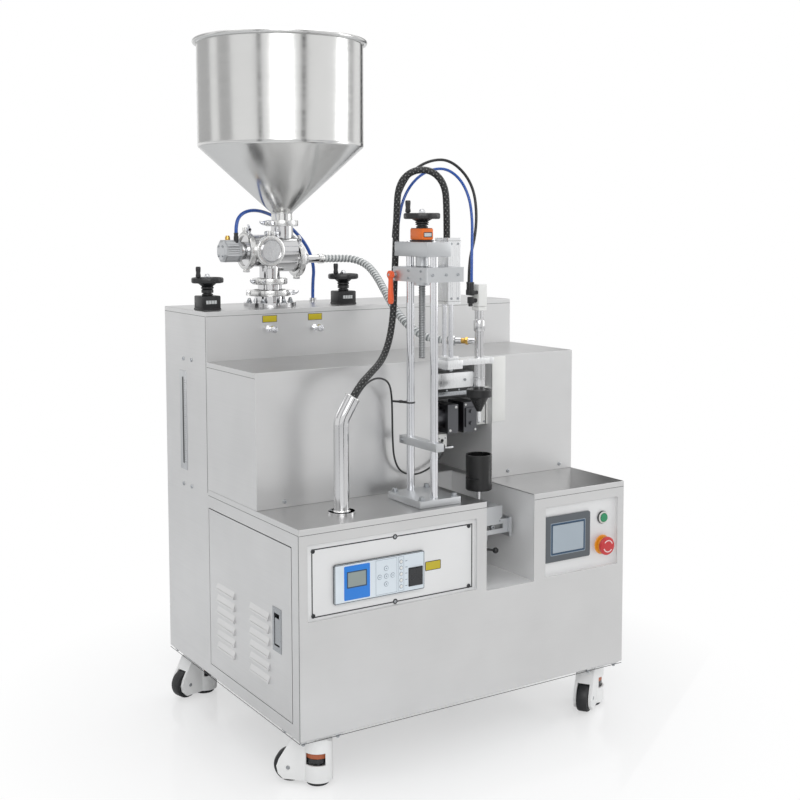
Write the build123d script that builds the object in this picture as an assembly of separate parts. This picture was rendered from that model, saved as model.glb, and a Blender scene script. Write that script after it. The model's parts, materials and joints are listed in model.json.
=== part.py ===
from build123d import *
import math
import os

# Tube filling and ultrasonic sealing machine on levelling castors.
# Millimetres, X to the right, Y to the back and Z up from the floor.
# The front left corner of the lower cabinet is at X 0, Y 0 until the last section,
# which moves every piece so that the origin is on the floor under the middle.

# Cabinets
WIDTH = 800.0
SHEET = 2.0
CASTOR_H = 105.0
DECK_H = 403.0
HOOD_H = 272.0
REAR_H = 780.0
HOOD_Y = 177.0
REAR_Y = 410.0
DEPTH = 638.0
BASE_Z = CASTOR_H
DECK_Z = BASE_Z + DECK_H
HOOD_Z = DECK_Z + HOOD_H
REAR_Z = BASE_Z + REAR_H

# Clearances: running fit, seat between parts that don't turn, gap round a door
FIT = 0.05
SEAT = 0.3
GAP = 1.5

# Cup bay in the deck and sealing bay in the hood above it
BAY_X0, BAY_X1 = 429.0, 551.0
CUP_BAY_BACK = 300.0
CUP_BAY_Z = DECK_Z - 184.0
SEAL_BAY_X1 = 572.0
SEAL_BAY_BACK = 400.0
SEAL_BAY_Z = HOOD_Z - 8.0

# Front windows, their trays and what the trays carry
RECESS = 8.0
GEN_WINDOW = (18.0, 404.0, BASE_Z + 226.0, BASE_Z + 371.0)
HMI_WINDOW = (582.0, 782.0, BASE_Z + 222.0, BASE_Z + 370.0)
GEN_CHASSIS = (86.0, 276.0, BASE_Z + 253.0, BASE_Z + 319.0)
GEN_BEZEL = (76.0, 279.0, BASE_Z + 248.0, BASE_Z + 324.0)
GEN_DEPTH = 180.0
BEZEL_T = 5.0
ROCKER = (242.0, 274.0, BASE_Z + 258.0, BASE_Z + 294.0)
ROCKER_TILT = 8.0
SCREEN_CHASSIS = (588.0, 699.0, BASE_Z + 257.0, BASE_Z + 341.0)
SCREEN_BEZEL = (580.0 + GAP + 1.0, 707.0, BASE_Z + 250.0, BASE_Z + 348.0)
SCREEN_DEPTH = 36.0
BUTTON_X = 745.0
START_Z = BASE_Z + 328.0
STOP_Z = BASE_Z + 268.0
BUTTON_HOLE_R = 11.0
START_R = 9.5
START_TRAVEL = 4.0
MUSHROOM_R = 20.0
STOP_COLLAR_R = 21.0
STOP_TRAVEL = 5.0
STEM_R = 6.0

# Side door, its hinge and its flush latch
DOOR_Y0, DOOR_Y1 = 32.0, 407.5
DOOR_Z0, DOOR_Z1 = BASE_Z + 27.0, BASE_Z + 363.0
DOOR_EDGE = 18.0
HINGE_X, HINGE_Y = 5.0, 403.0
HINGE_BLOCK = 16.0
BARREL = 14.0
BARREL_R = 3.5
PIN_R = 1.5
LOUVRE_W, LOUVRE_H, LOUVRE_OUT = 84.0, 16.0, 5.0
LOUVRE_PITCH = 25.0
LOUVRE_ROWS = 6
LOUVRE_Y = (125.0, 283.0)
LOUVRE_Z = BASE_Z + 73.0
LATCH_Y0, LATCH_Y1 = 77.0, 107.0
LATCH_Z0, LATCH_Z1 = BASE_Z + 150.0, BASE_Z + 230.0
LATCH_PIN_X, LATCH_PIN_Z = 5.0, LATCH_Z1 - 24.0

# Filling axis, sealing plane and the vertical column
FILL_X, FILL_Y = 492.0, 115.0
SEAL_Y = 212.0
JAW_Z = DECK_Z + 142.0
HORN_R = 22.0
JAW_GAP = 8.0
PUSH_ROD_R = 9.0
COLUMN_X, COLUMN_Y = 322.0, 76.0
ROD_GAP = 86.0
ROD_R = 8.0
SCREW_R = 7.0
COLUMN_FOOT = 15.0
TOP_PLATE_Z = DECK_Z + 496.0
TOP_PLATE_T = 29.0
CARRIAGE_Z = DECK_Z + 446.0
CARRIAGE_T = 29.0
CARRIAGE_X1 = 382.0
WHEEL_Z = DECK_Z + 570.0
COLUMN_WHEEL_R = 37.0
NOZZLE_CYL = (CARRIAGE_X1, 414.0, 71.0, 120.0)
NOZZLE_CYL_Z0, NOZZLE_CYL_Z1 = DECK_Z + 397.0, DECK_Z + 532.0
GUIDE_R = 5.0
GUIDE_X, GUIDE_Y = 398.0, 96.0
GUIDE_GAP = 24.0
YOKE_Z = DECK_Z + 267.0
YOKE_T = 13.0
STEM_TUBE_R = 9.5

# Cup, its slide and its lever
CUP_R, CUP_WALL = 28.0, 3.0
CUP_Z0, CUP_Z1 = DECK_Z - 3.0, DECK_Z + 73.0
CUP_SHAFT_R = 5.0
CARRIER_Z0, CARRIER_Z1 = DECK_Z - 58.0, DECK_Z - 33.0
RAIL_Z0, RAIL_Z1 = DECK_Z - 88.0, DECK_Z - 68.0
LEVER_Y, LEVER_Z = 100.0, DECK_Z - 116.0

# Cable pipe on the deck
PIPE_X, PIPE_Y, PIPE_R, PIPE_WALL = 133.0, 74.0, 15.0, 1.5
PIPE_BEND_Z = DECK_Z + 183.0
PIPE_MOUTH = (157.0, 70.0, DECK_Z + 226.0)

# Hopper, valve stack and metering unit
STACK_X, STACK_Y = 206.0, 524.0
HOPPER_X = 238.0
HOPPER_R = 186.0
HOPPER_WALL = 1.5
NECK_R = 23.5
NECK_Z = REAR_Z + 185.0
NECK_TOP_Z = REAR_Z + 209.0
CONE_Z = REAR_Z + 355.0
RIM_Z = REAR_Z + 591.0
RIM_R = 5.0
VALVE_Z = REAR_Z + 124.0
VALVE_R = 36.0
VALVE_X0, VALVE_X1 = 152.0, 262.0
ROTOR_R = 29.0
PORT_R = 34.0
METER_BORE_R = 30.0
METER_H = 170.0
DRIVE_ROD_R = 8.0
OUTLET_Z = REAR_Z + 103.0
CLAMP_HALF = 7.0
FLANGE_T = 3.0
FRONT_FLANGE_Y = STACK_Y - VALVE_R - CLAMP_HALF - 1.0

# Stroke counters on the rear deck
STROKE_AXES = ((36.5, 483.0), (373.5, 483.0))
STROKE_SHAFT_R = 6.0
COUNTER_H = 30.0
STROKE_WHEEL_Z = REAR_Z + 57.0
STROKE_WHEEL_R = 35.0

# Back of the machine
BACK_MARGIN = 60.0
COVER_LAP = 14.0
INLET = (110.0, 138.0, BASE_Z + 120.0, BASE_Z + 142.0)
TUBE_ENTRY = (358.0, 602.0)

# Levelling castors
CASTOR_INSET = 50.0
PLATE_T = 4.0
SWIVEL_R = 25.0
WHEEL_R = 31.0
WHEEL_W = 25.0
WHEEL_LIFT = 1.5
WHEEL_OFF = 42.0
FOOT_OFF = 12.0
FOOT_R = 22.0
FOOT_STEM_R = 9.0
THUMB_R = 24.5
THUMB_Z = 44.0
AXLE_R = 4.0
CASTORS = {
    "front_left": (CASTOR_INSET, CASTOR_INSET, -42.0),
    "front_right": (WIDTH - CASTOR_INSET, CASTOR_INSET, 35.0),
    "rear_left": (CASTOR_INSET, DEPTH - CASTOR_INSET, 15.0),
    "rear_right": (WIDTH - CASTOR_INSET, DEPTH - CASTOR_INSET, 200.0),
}


def box(x0, x1, y0, y1, z0, z1):
    return Pos((x0 + x1) / 2, (y0 + y1) / 2, (z0 + z1) / 2) * Box(x1 - x0, y1 - y0, z1 - z0)


def rod_z(x, y, z0, z1, r):
    return Pos(x, y, (z0 + z1) / 2) * Cylinder(r, z1 - z0)


def rod_x(x0, x1, y, z, r):
    return Pos((x0 + x1) / 2, y, z) * Rot(0, 90, 0) * Cylinder(r, x1 - x0)


def rod_y(x, y0, y1, z, r):
    return Pos(x, (y0 + y1) / 2, z) * Rot(90, 0, 0) * Cylinder(r, y1 - y0)


def ring_z(x, y, z0, z1, r, bore):
    return rod_z(x, y, z0, z1, r) - rod_z(x, y, z0 - 1, z1 + 1, bore)


def rounded(x0, x1, y0, y1, z0, z1, r, axis=Axis.Z):
    """A box with its four edges along one axis rounded."""
    solid = box(x0, x1, y0, y1, z0, z1)
    return fillet(solid.edges().filter_by(axis), r)


def cord(name, points, r):
    """A round cord along straight runs joined by the largest even arcs."""
    points = [Vector(*p) for p in points]
    radii = []
    for a, b, c in zip(points, points[1:], points[2:]):
        turn = math.radians((b - a).get_angle(c - b))
        radii.append(0.45 * min((b - a).length, (c - b).length) / math.tan(turn / 2))
    path = FilletPolyline(*points, radius=radii)
    section = Plane(origin=points[0], z_dir=points[1] - points[0]) * Circle(r)
    solid = sweep(section, path=path)
    share = solid.volume / (math.pi * r * r * path.length)
    print(f"{name}: radii {min(radii):.0f} to {max(radii):.0f} mm, length {path.length:.0f} mm, "
          f"volume {share:.4f} of section times length")
    return solid


# Cabinet shells

def base_cabinet():
    """Lower cabinet with the deck, open at the back, the cup bay, the windows and the door."""
    solid = box(0, WIDTH, 0, REAR_Y, BASE_Z, DECK_Z)
    solid -= box(SHEET, WIDTH - SHEET, SHEET, REAR_Y + 1, BASE_Z + SHEET, DECK_Z - SHEET)
    solid -= box(BAY_X0, BAY_X1, -1, CUP_BAY_BACK, CUP_BAY_Z, DECK_Z + 1)
    solid -= box(-1, SHEET + 1, DOOR_Y0 - GAP, REAR_Y + 1, DOOR_Z0 - GAP, DOOR_Z1 + GAP)
    for x0, x1, z0, z1 in (GEN_WINDOW, HMI_WINDOW):
        solid -= box(x0, x1, -1, SHEET + 1, z0, z1)
    solid -= rod_z(PIPE_X, PIPE_Y, DECK_Z - 10, DECK_Z + 1, PIPE_R + FIT)
    for z0, z1 in hinge_blocks():
        block = box(SHEET, 2 * HINGE_X, HINGE_Y - HINGE_X, REAR_Y, z0, z1)
        solid += block - rod_z(HINGE_X, HINGE_Y, z0 - 1, z1 + 1, PIN_R + FIT)
    return solid


def hinge_blocks():
    """Heights of the blocks that hold the door pins, just below and above the opening."""
    low, high = DOOR_Z0 - GAP, DOOR_Z1 + GAP
    return ((low - HINGE_BLOCK, low), (high, high + HINGE_BLOCK))


def door_pins():
    low, high = hinge_blocks()
    return [rod_z(HINGE_X, HINGE_Y, low[0] + 1, DOOR_Z0 + BARREL - 1, PIN_R),
            rod_z(HINGE_X, HINGE_Y, DOOR_Z1 - BARREL + 1, high[1] - 1, PIN_R)]


def side_door():
    """Flat door with bent edges, two columns of louvres and a barrel at each hinge."""
    solid = box(0, SHEET, DOOR_Y0, DOOR_Y1, DOOR_Z0, DOOR_Z1)
    solid += box(SHEET, DOOR_EDGE, DOOR_Y0, DOOR_Y0 + SHEET, DOOR_Z0, DOOR_Z1)
    for z in (DOOR_Z0, DOOR_Z1 - SHEET):
        solid += box(SHEET, DOOR_EDGE, DOOR_Y0, HINGE_Y - 20, z, z + SHEET)
    side = Polyline((0, LOUVRE_H), (-LOUVRE_OUT, 2), (-LOUVRE_OUT, 0), (0, 0), close=True)
    hood_shape = extrude(Plane.XZ * make_face(side), amount=-LOUVRE_W)
    slot = box(-LOUVRE_OUT + 1, SHEET + 1, 3, LOUVRE_W - 3, -1, 5)
    for y in LOUVRE_Y:
        for row in range(LOUVRE_ROWS):
            low = LOUVRE_Z + row * LOUVRE_PITCH
            solid += Pos(0, y, low) * hood_shape
            solid -= Pos(0, y, low) * slot
    solid -= box(-1, SHEET + 1, LATCH_Y0 - FIT, LATCH_Y1 + FIT, LATCH_Z0 - FIT, LATCH_Z1 + FIT)
    for z in (DOOR_Z0, DOOR_Z1 - BARREL):
        barrel = rod_z(HINGE_X, HINGE_Y, z, z + BARREL, BARREL_R)
        barrel += box(0, HINGE_X, HINGE_Y - BARREL_R, HINGE_Y, z, z + BARREL)
        solid += barrel
        solid -= rod_z(HINGE_X, HINGE_Y, z - 1, z + BARREL + 1, PIN_R + FIT)
    return solid


def latch_dish():
    """Flush latch: a dished plate set in the door, bored for the paddle's pin."""
    solid = box(-1, 0, LATCH_Y0 - 3, LATCH_Y1 + 3, LATCH_Z0 - 3, LATCH_Z1 + 3)
    solid += box(0, 12, LATCH_Y0, LATCH_Y1, LATCH_Z0, LATCH_Z1)
    solid -= box(-2, 10, LATCH_Y0 + 4, LATCH_Y1 - 4, LATCH_Z0 + 8, LATCH_Z1 - 8)
    solid -= rod_y(LATCH_PIN_X, LATCH_Y0 + 1, LATCH_Y1 - 1, LATCH_PIN_Z, 2 + FIT)
    return solid


def latch_paddle():
    """Paddle that tips out of the dish about a pin near its top."""
    y0, y1 = LATCH_Y0 + 5, LATCH_Y1 - 5
    solid = box(0, 3, y0, y1, LATCH_Z0 + 11, LATCH_PIN_Z + 6)
    solid += box(2, LATCH_PIN_X, y0, y1, LATCH_PIN_Z - 2, LATCH_PIN_Z + 2)
    solid += rod_y(LATCH_PIN_X, LATCH_Y0 + 1.2, LATCH_Y1 - 1.2, LATCH_PIN_Z, 2)
    return solid


def bay_linings():
    """Linings of the cup bay and the sealing bay, and the trays behind the front windows."""
    t = SHEET
    cup = box(BAY_X0 - t, BAY_X1 + t, t, CUP_BAY_BACK + t, CUP_BAY_Z - t, DECK_Z - t)
    cup -= box(BAY_X0, BAY_X1, t - 1, CUP_BAY_BACK, CUP_BAY_Z, DECK_Z)
    seal = box(BAY_X0 - t, SEAL_BAY_X1 + t, HOOD_Y + t, SEAL_BAY_BACK + t, DECK_Z, SEAL_BAY_Z + t)
    seal -= box(BAY_X0, SEAL_BAY_X1, HOOD_Y + t - 1, SEAL_BAY_BACK, DECK_Z - 1, SEAL_BAY_Z)
    seal -= rod_x(BAY_X0 - t - 1, BAY_X0 + 1, SEAL_Y, JAW_Z, HORN_R + 2)
    seal -= rod_x(SEAL_BAY_X1 - 1, SEAL_BAY_X1 + t + 1, SEAL_Y, JAW_Z, PUSH_ROD_R + FIT)
    trays = []
    for window, chassis in ((GEN_WINDOW, GEN_CHASSIS), (HMI_WINDOW, SCREEN_CHASSIS)):
        x0, x1, z0, z1 = window
        tray = box(x0 - t, x1 + t, t, RECESS + t, z0 - t, z1 + t)
        tray -= box(x0, x1, t - 1, RECESS, z0, z1)
        x0, x1, z0, z1 = chassis
        trays.append(tray - box(x0, x1, RECESS - 1, RECESS + t + 1, z0, z1))
    for z in (START_Z, STOP_Z):
        trays[1] -= rod_y(BUTTON_X, RECESS - 1, RECESS + t + 1, z, BUTTON_HOLE_R)
    return [cup, seal] + trays


def hood():
    """Middle cover that stands on the deck, open at the bottom, the back and the sealing bay."""
    solid = box(0, WIDTH, HOOD_Y, REAR_Y, DECK_Z, HOOD_Z)
    solid -= box(SHEET, WIDTH - SHEET, HOOD_Y + SHEET, REAR_Y + 1, DECK_Z - 1, HOOD_Z - SHEET)
    solid -= box(BAY_X0, SEAL_BAY_X1, HOOD_Y - 1, HOOD_Y + SHEET + 1, DECK_Z - 1, SEAL_BAY_Z)
    solid += box(SEAL_BAY_X1, SEAL_BAY_X1 + 36, HOOD_Y - 1, HOOD_Y, DECK_Z + 126, HOOD_Z - 2)
    return solid


def rear_cabinet():
    """Tall cabinet behind, open at the back under its service cover."""
    t = SHEET
    solid = box(0, WIDTH, REAR_Y, DEPTH, BASE_Z, REAR_Z)
    solid -= box(t, WIDTH - t, REAR_Y + t, DEPTH - t, BASE_Z + t, REAR_Z - t)
    solid -= rod_z(STACK_X, STACK_Y, REAR_Z - 10, REAR_Z + 1, PORT_R + FIT)
    for x, y in STROKE_AXES:
        solid -= rod_z(x, y, REAR_Z - 10, REAR_Z + 1, STROKE_SHAFT_R + FIT)
    solid -= box(BACK_MARGIN, WIDTH - BACK_MARGIN, DEPTH - t - 1, DEPTH + 1,
                 BASE_Z + BACK_MARGIN, REAR_Z - BACK_MARGIN)
    return solid


def rear_cover():
    """Screwed cover over the back, with air slots and the cut-out for the mains inlet."""
    x0, x1 = BACK_MARGIN - COVER_LAP, WIDTH - BACK_MARGIN + COVER_LAP
    z0, z1 = BASE_Z + BACK_MARGIN - COVER_LAP, REAR_Z - BACK_MARGIN + COVER_LAP
    solid = box(x0, x1, DEPTH, DEPTH + SHEET, z0, z1)
    for column in range(3):
        for row in range(8):
            x = x1 - 200 + column * 50
            z = z1 - 160 + row * 12
            solid -= box(x, x + 40, DEPTH - 1, DEPTH + SHEET + 1, z, z + 4)
    solid -= box(INLET[0], INLET[1], DEPTH - 1, DEPTH + SHEET + 1, INLET[2], INLET[3])
    return solid


def mains_inlet():
    """Panel socket for a mains lead, with three blades."""
    x0, x1, z0, z1 = INLET
    back = DEPTH + SHEET
    solid = box(x0, x1, DEPTH - 22, back, z0, z1)
    solid += box(x0 - 6, x1 + 6, back, back + 3, z0 - 4, z1 + 4)
    solid -= box(x0 + 3, x1 - 3, DEPTH - 14, back + 4, z0 + 3, z1 - 3)
    for step in (-7, 0, 7):
        x = (x0 + x1) / 2 + step
        solid += box(x - 1, x + 1, DEPTH - 16, back - 4, (z0 + z1) / 2 - 3, (z0 + z1) / 2 + 3)
    return solid


# Front panels

def generator():
    """Ultrasonic generator: a chassis behind the panel, a bezel and five round keys."""
    x0, x1, z0, z1 = GEN_CHASSIS
    solid = box(x0 + FIT, x1 - FIT, RECESS, RECESS + GEN_DEPTH, z0 + FIT, z1 - FIT)
    x0, x1, z0, z1 = GEN_BEZEL
    solid += rounded(x0, x1, RECESS - BEZEL_T, RECESS, z0, z1, 4, Axis.Y)
    x0, x1, z0, z1 = ROCKER
    solid -= box(x0 - SEAT, x1 + SEAT, 0, RECESS + 14, z0 - SEAT, z1 + SEAT)
    return solid


def rocker_switch():
    """Rocker of the power switch, with two sloping faces and its cross pin."""
    x0, x1, z0, z1 = ROCKER
    mid = (z0 + z1) / 2
    front = RECESS - BEZEL_T
    tip = math.tan(math.radians(ROCKER_TILT)) * (z1 - z0) / 2
    side = Polyline((front - tip, z0 + 1), (front - 0.5, mid), (front - tip, z1 - 1),
                    (front + 8, z1 - 4), (front + 8, z0 + 4), close=True)
    solid = extrude(Plane.YZ * make_face(side), amount=x1 - x0 - 1)
    return Pos(x0 + 0.5, 0, 0) * solid


def touch_screen():
    """Touch screen: a shallow chassis and a bezel round a sunken display."""
    x0, x1, z0, z1 = SCREEN_CHASSIS
    solid = box(x0 + FIT, x1 - FIT, RECESS, RECESS + SCREEN_DEPTH, z0 + FIT, z1 - FIT)
    x0, x1, z0, z1 = SCREEN_BEZEL
    solid += rounded(x0, x1, RECESS - 6, RECESS, z0, z1, 5, Axis.Y)
    solid -= rounded(x0 + 11, x1 - 11, RECESS - 7, RECESS - 5, z0 + 11, z1 - 11, 2, Axis.Y)
    return solid


def button_collars():
    """Threaded collars of the start button and the stop button in the right-hand tray."""
    start = rod_y(BUTTON_X, RECESS - 4, RECESS, START_Z, 14)
    start += rod_y(BUTTON_X, RECESS, RECESS + 22, START_Z, BUTTON_HOLE_R - FIT)
    start -= rod_y(BUTTON_X, RECESS - 5, RECESS + 12, START_Z, START_R + FIT)
    stop = rod_y(BUTTON_X, RECESS - 6, RECESS, STOP_Z, STOP_COLLAR_R)
    stop += rod_y(BUTTON_X, RECESS, RECESS + 26, STOP_Z, BUTTON_HOLE_R - FIT)
    stop -= rod_y(BUTTON_X, RECESS - 7, RECESS + 18, STOP_Z, STEM_R + FIT)
    return [start, stop]


def start_button():
    face = RECESS - 4 - START_TRAVEL
    return rod_y(BUTTON_X, face, RECESS + 12 - START_TRAVEL - 0.5, START_Z, START_R)


def stop_button():
    """Mushroom button on its stem, out by its travel."""
    back = RECESS - 6 - STOP_TRAVEL - 0.3
    head = rod_y(BUTTON_X, back - 9, back, STOP_Z, MUSHROOM_R)
    head = fillet(head.edges().group_by(Axis.Y)[0], 3)
    return head + rod_y(BUTTON_X, back, RECESS + 17 - STOP_TRAVEL, STOP_Z, STEM_R)


# Column, carriage and filling head

def column_rods():
    return [(COLUMN_X, COLUMN_Y - ROD_GAP / 2), (COLUMN_X, COLUMN_Y + ROD_GAP / 2)]


def column_frame():
    """Foot plate, two rods, the tie bar across them and the top plate, as separate solids."""
    foot_z = DECK_Z + COLUMN_FOOT
    foot = rounded(COLUMN_X - 44, COLUMN_X + 54, COLUMN_Y - 60, COLUMN_Y + 60, DECK_Z, foot_z, 5)
    tie = rounded(COLUMN_X - 10, COLUMN_X + 10, COLUMN_Y - 64, COLUMN_Y + 71,
                  DECK_Z + 110, DECK_Z + 127, 3)
    top = rounded(COLUMN_X - 30, COLUMN_X + 28, COLUMN_Y - 62, COLUMN_Y + 56,
                  TOP_PLATE_Z, TOP_PLATE_Z + TOP_PLATE_T, 4)
    rods = []
    for x, y in column_rods():
        rods.append(rod_z(x, y, DECK_Z, TOP_PLATE_Z + TOP_PLATE_T, ROD_R))
        hole = rod_z(x, y, DECK_Z - 1, TOP_PLATE_Z + TOP_PLATE_T + 1, ROD_R + FIT)
        foot, tie, top = foot - hole, tie - hole, top - hole
    top -= rod_z(COLUMN_X, COLUMN_Y, TOP_PLATE_Z - 1, TOP_PLATE_Z + TOP_PLATE_T + 1, SCREW_R + FIT)
    return [foot, tie, top] + rods


def handwheel(x, y, z, r, grip_angle, grip_top):
    """Disc handwheel with a cap nut and an upright grip near its rim."""
    solid = rod_z(x, y, z, z + 12, r)
    solid = fillet(solid.edges().filter_by(GeomType.CIRCLE), 3)
    solid -= ring_z(x, y, z + 6, z + 13, r - 4, 12)
    solid += rod_z(x, y, z + 12, z + 17, 8)
    gx = x + (r - 9) * math.cos(math.radians(grip_angle))
    gy = y + (r - 9) * math.sin(math.radians(grip_angle))
    return solid + rod_z(gx, gy, z + 5, grip_top, 5.5)


def column_wheel():
    """Lead screw with its thrust collar, hub and handwheel."""
    counter_z = TOP_PLATE_Z + TOP_PLATE_T + 27
    solid = rod_z(COLUMN_X, COLUMN_Y, DECK_Z + 292, WHEEL_Z + 1, SCREW_R)
    solid += rod_z(COLUMN_X, COLUMN_Y, CARRIAGE_Z + CARRIAGE_T + SEAT, TOP_PLATE_Z - SEAT, 13)
    hub = Pos(COLUMN_X, COLUMN_Y, (counter_z + SEAT + WHEEL_Z) / 2) * Cone(
        16, 11, WHEEL_Z - counter_z - SEAT)
    return solid + hub + handwheel(COLUMN_X, COLUMN_Y, WHEEL_Z, COLUMN_WHEEL_R, 150, WHEEL_Z + 37)


def position_counters():
    """Counter on the column's top plate and one under each stroke wheel, each with a window."""
    base_z = TOP_PLATE_Z + TOP_PLATE_T
    column = rounded(COLUMN_X - 15, COLUMN_X + 13, COLUMN_Y - 23, COLUMN_Y + 22,
                     base_z, base_z + 27, 4)
    column -= box(COLUMN_X - 10, COLUMN_X + 8, COLUMN_Y - 24, COLUMN_Y - 22, base_z + 10, base_z + 18)
    solids = [column - rod_z(COLUMN_X, COLUMN_Y, base_z - 1, base_z + 28, SCREW_R + FIT)]
    for x, y in STROKE_AXES:
        top = REAR_Z + COUNTER_H
        body = rounded(x - 22.5, x + 22.5, y - 21, y + 21, REAR_Z, top, 4)
        body -= box(x - 14, x + 14, y - 22, y - 20, REAR_Z + 10, REAR_Z + 20)
        solids.append(body - rod_z(x, y, REAR_Z - 1, top + 1, STROKE_SHAFT_R + FIT))
    return solids


def stroke_wheel(x, y):
    """Stroke handwheel on its shaft, with a collar that sits on the counter."""
    top = REAR_Z + COUNTER_H
    solid = rod_z(x, y, REAR_Z - 15, STROKE_WHEEL_Z + 1, STROKE_SHAFT_R)
    solid += Pos(x, y, (top + SEAT + STROKE_WHEEL_Z) / 2) * Cone(15, 11, STROKE_WHEEL_Z - top - SEAT)
    return solid + handwheel(x, y, STROKE_WHEEL_Z, STROKE_WHEEL_R, 200, STROKE_WHEEL_Z + 36)


def carriage():
    """Block that slides on the two rods and holds the screw's nut thread and the lever's pin."""
    solid = rounded(COLUMN_X - 30, CARRIAGE_X1, COLUMN_Y - 62, COLUMN_Y + 64,
                    CARRIAGE_Z, CARRIAGE_Z + CARRIAGE_T, 3)
    for x, y in column_rods():
        solid -= rod_z(x, y, CARRIAGE_Z - 1, CARRIAGE_Z + CARRIAGE_T + 1, ROD_R + FIT)
    solid -= rod_z(COLUMN_X, COLUMN_Y, CARRIAGE_Z - 1, CARRIAGE_Z + CARRIAGE_T + 1, SCREW_R + FIT)
    x, y, z = clamp_pin()
    return solid - rod_x(x - 1, x + 14, y, z, 4 + FIT)


def clamp_pin():
    return (COLUMN_X - 30, COLUMN_Y + 57, CARRIAGE_Z + 12)


def clamp_lever():
    """Clamp lever on the carriage's left face: a threaded pin, a hub and a hanging grip."""
    x, y, z = clamp_pin()
    solid = rod_x(x - SEAT - 12, x + 12, y, z, 4)
    solid += rod_x(x - SEAT - 14, x - SEAT, y, z, 8)
    solid += rod_z(x - SEAT - 8, y, z - 58, z, 5)
    return solid + Pos(x - SEAT - 8, y, z - 58) * Sphere(6.5)


def nozzle_cylinder():
    """Twin-rod air cylinder on the carriage's right face, bored for the yoke's rods."""
    x0, x1, y0, y1 = NOZZLE_CYL
    solid = rounded(x0, x1, y0, y1, NOZZLE_CYL_Z0, NOZZLE_CYL_Z1, 2)
    for y in (GUIDE_Y - GUIDE_GAP / 2, GUIDE_Y + GUIDE_GAP / 2):
        solid -= rod_z(GUIDE_X, y, NOZZLE_CYL_Z0 - 1, NOZZLE_CYL_Z1 - 5, GUIDE_R + FIT)
    for y in (y0 + 12, y1 - 12):
        solid -= box(x1 - 4, x1 + 1, y - 3, y + 3, NOZZLE_CYL_Z0 - 1, NOZZLE_CYL_Z1 + 1)
    return solid


def yoke():
    """Two guide rods, the block under them and the bar that holds the nozzle."""
    solid = box(GUIDE_X - 12, GUIDE_X + 26, GUIDE_Y - 18, FILL_Y + 13, YOKE_Z - 4, YOKE_Z + 22)
    solid += box(GUIDE_X + 26, FILL_X + 23, FILL_Y - 20, FILL_Y + 20, YOKE_Z, YOKE_Z + YOKE_T)
    solid -= rod_z(FILL_X, FILL_Y, YOKE_Z - 1, YOKE_Z + YOKE_T + 1, STEM_TUBE_R + FIT)
    for y in (GUIDE_Y - GUIDE_GAP / 2, GUIDE_Y + GUIDE_GAP / 2):
        solid += rod_z(GUIDE_X, y, YOKE_Z + 20, NOZZLE_CYL_Z0 + 40, GUIDE_R)
    return solid


def nozzle_inlet():
    """End of the nozzle's side inlet and its direction, seen from above."""
    return (FILL_X - 32, FILL_Y + 41), (-0.6, 0.8)


def filling_nozzle():
    """Nozzle: air block, stem, side inlet, wide tube, sealing cone and thin tip."""
    z = DECK_Z
    solid = rounded(FILL_X - 11, FILL_X + 11, FILL_Y - 13, FILL_Y + 13, z + 379, z + 434, 2)
    solid += rod_z(FILL_X, FILL_Y, z + 212, z + 380, STEM_TUBE_R)
    solid += rod_z(FILL_X, FILL_Y, z + 337, z + 357, 12)
    solid += rod_z(FILL_X, FILL_Y, YOKE_Z + YOKE_T, YOKE_Z + YOKE_T + 6, 13)
    solid += rod_z(FILL_X, FILL_Y, z + 212, YOKE_Z, 13)
    solid += rod_z(FILL_X, FILL_Y, z + 195, z + 212, 26.7)
    solid += Pos(FILL_X, FILL_Y, z + 179.5) * Cone(5, 20, 31)
    solid += rod_z(FILL_X, FILL_Y, z + 142, z + 165, 4)
    (x, y), (dx, dy) = nozzle_inlet()
    solid += extrude(Plane(origin=(x, y, z + 313), z_dir=(-dx, -dy, 0)) * Circle(7), amount=48)
    for y, x in ((FILL_Y + 7, FILL_X - 22), (FILL_Y - 7, FILL_X - 25)):
        solid += rod_z(x, y, z + 420, z + 437, 5)
        solid += rod_x(x, FILL_X - 10, y, z + 425, 4)
    return solid


# Cup and sealing head

def cup_slide():
    """Carrier block under the cup, its slotted bar, end flange and the foot on the rail."""
    solid = box(FILL_X - 30, FILL_X + 29, FILL_Y - 45, FILL_Y + 25, CARRIER_Z0, CARRIER_Z1)
    solid -= rod_z(FILL_X, FILL_Y, CARRIER_Z0 + 4, CARRIER_Z1 + 1, CUP_SHAFT_R + FIT)
    bar_x0 = BAY_X0 + 16 + SEAT
    solid += box(bar_x0, FILL_X + 42, FILL_Y - 45, FILL_Y - 35, CARRIER_Z0 - 34, CARRIER_Z0 - 4)
    solid -= box(bar_x0 + 20, FILL_X + 30, FILL_Y - 46, FILL_Y - 34, CARRIER_Z0 - 24, CARRIER_Z0 - 14)
    solid += box(FILL_X - 25, FILL_X + 25, FILL_Y - 45, FILL_Y - 35, CARRIER_Z0 - 5, CARRIER_Z0)
    solid += box(FILL_X + 42, FILL_X + 48, FILL_Y - 53, FILL_Y - 23, CARRIER_Z0 - 42, CARRIER_Z0)
    solid += box(bar_x0, bar_x0 + 6, FILL_Y - 45, FILL_Y + 15, RAIL_Z0, RAIL_Z1)
    return solid


def tube_cup():
    """Cup that holds the tube, on a short shaft that turns in the carrier."""
    solid = ring_z(FILL_X, FILL_Y, CUP_Z0, CUP_Z1, CUP_R, CUP_R - CUP_WALL)
    solid += rod_z(FILL_X, FILL_Y, CUP_Z0, CUP_Z0 + 4, CUP_R)
    solid += rod_z(FILL_X, FILL_Y, CARRIER_Z1 + SEAT, CARRIER_Z1 + 6, 11)
    return solid + rod_z(FILL_X, FILL_Y, CARRIER_Z0 + 4 + SEAT, CUP_Z0 + 1, CUP_SHAFT_R)


def lever_boss_x():
    return BAY_X0 + 14


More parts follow.
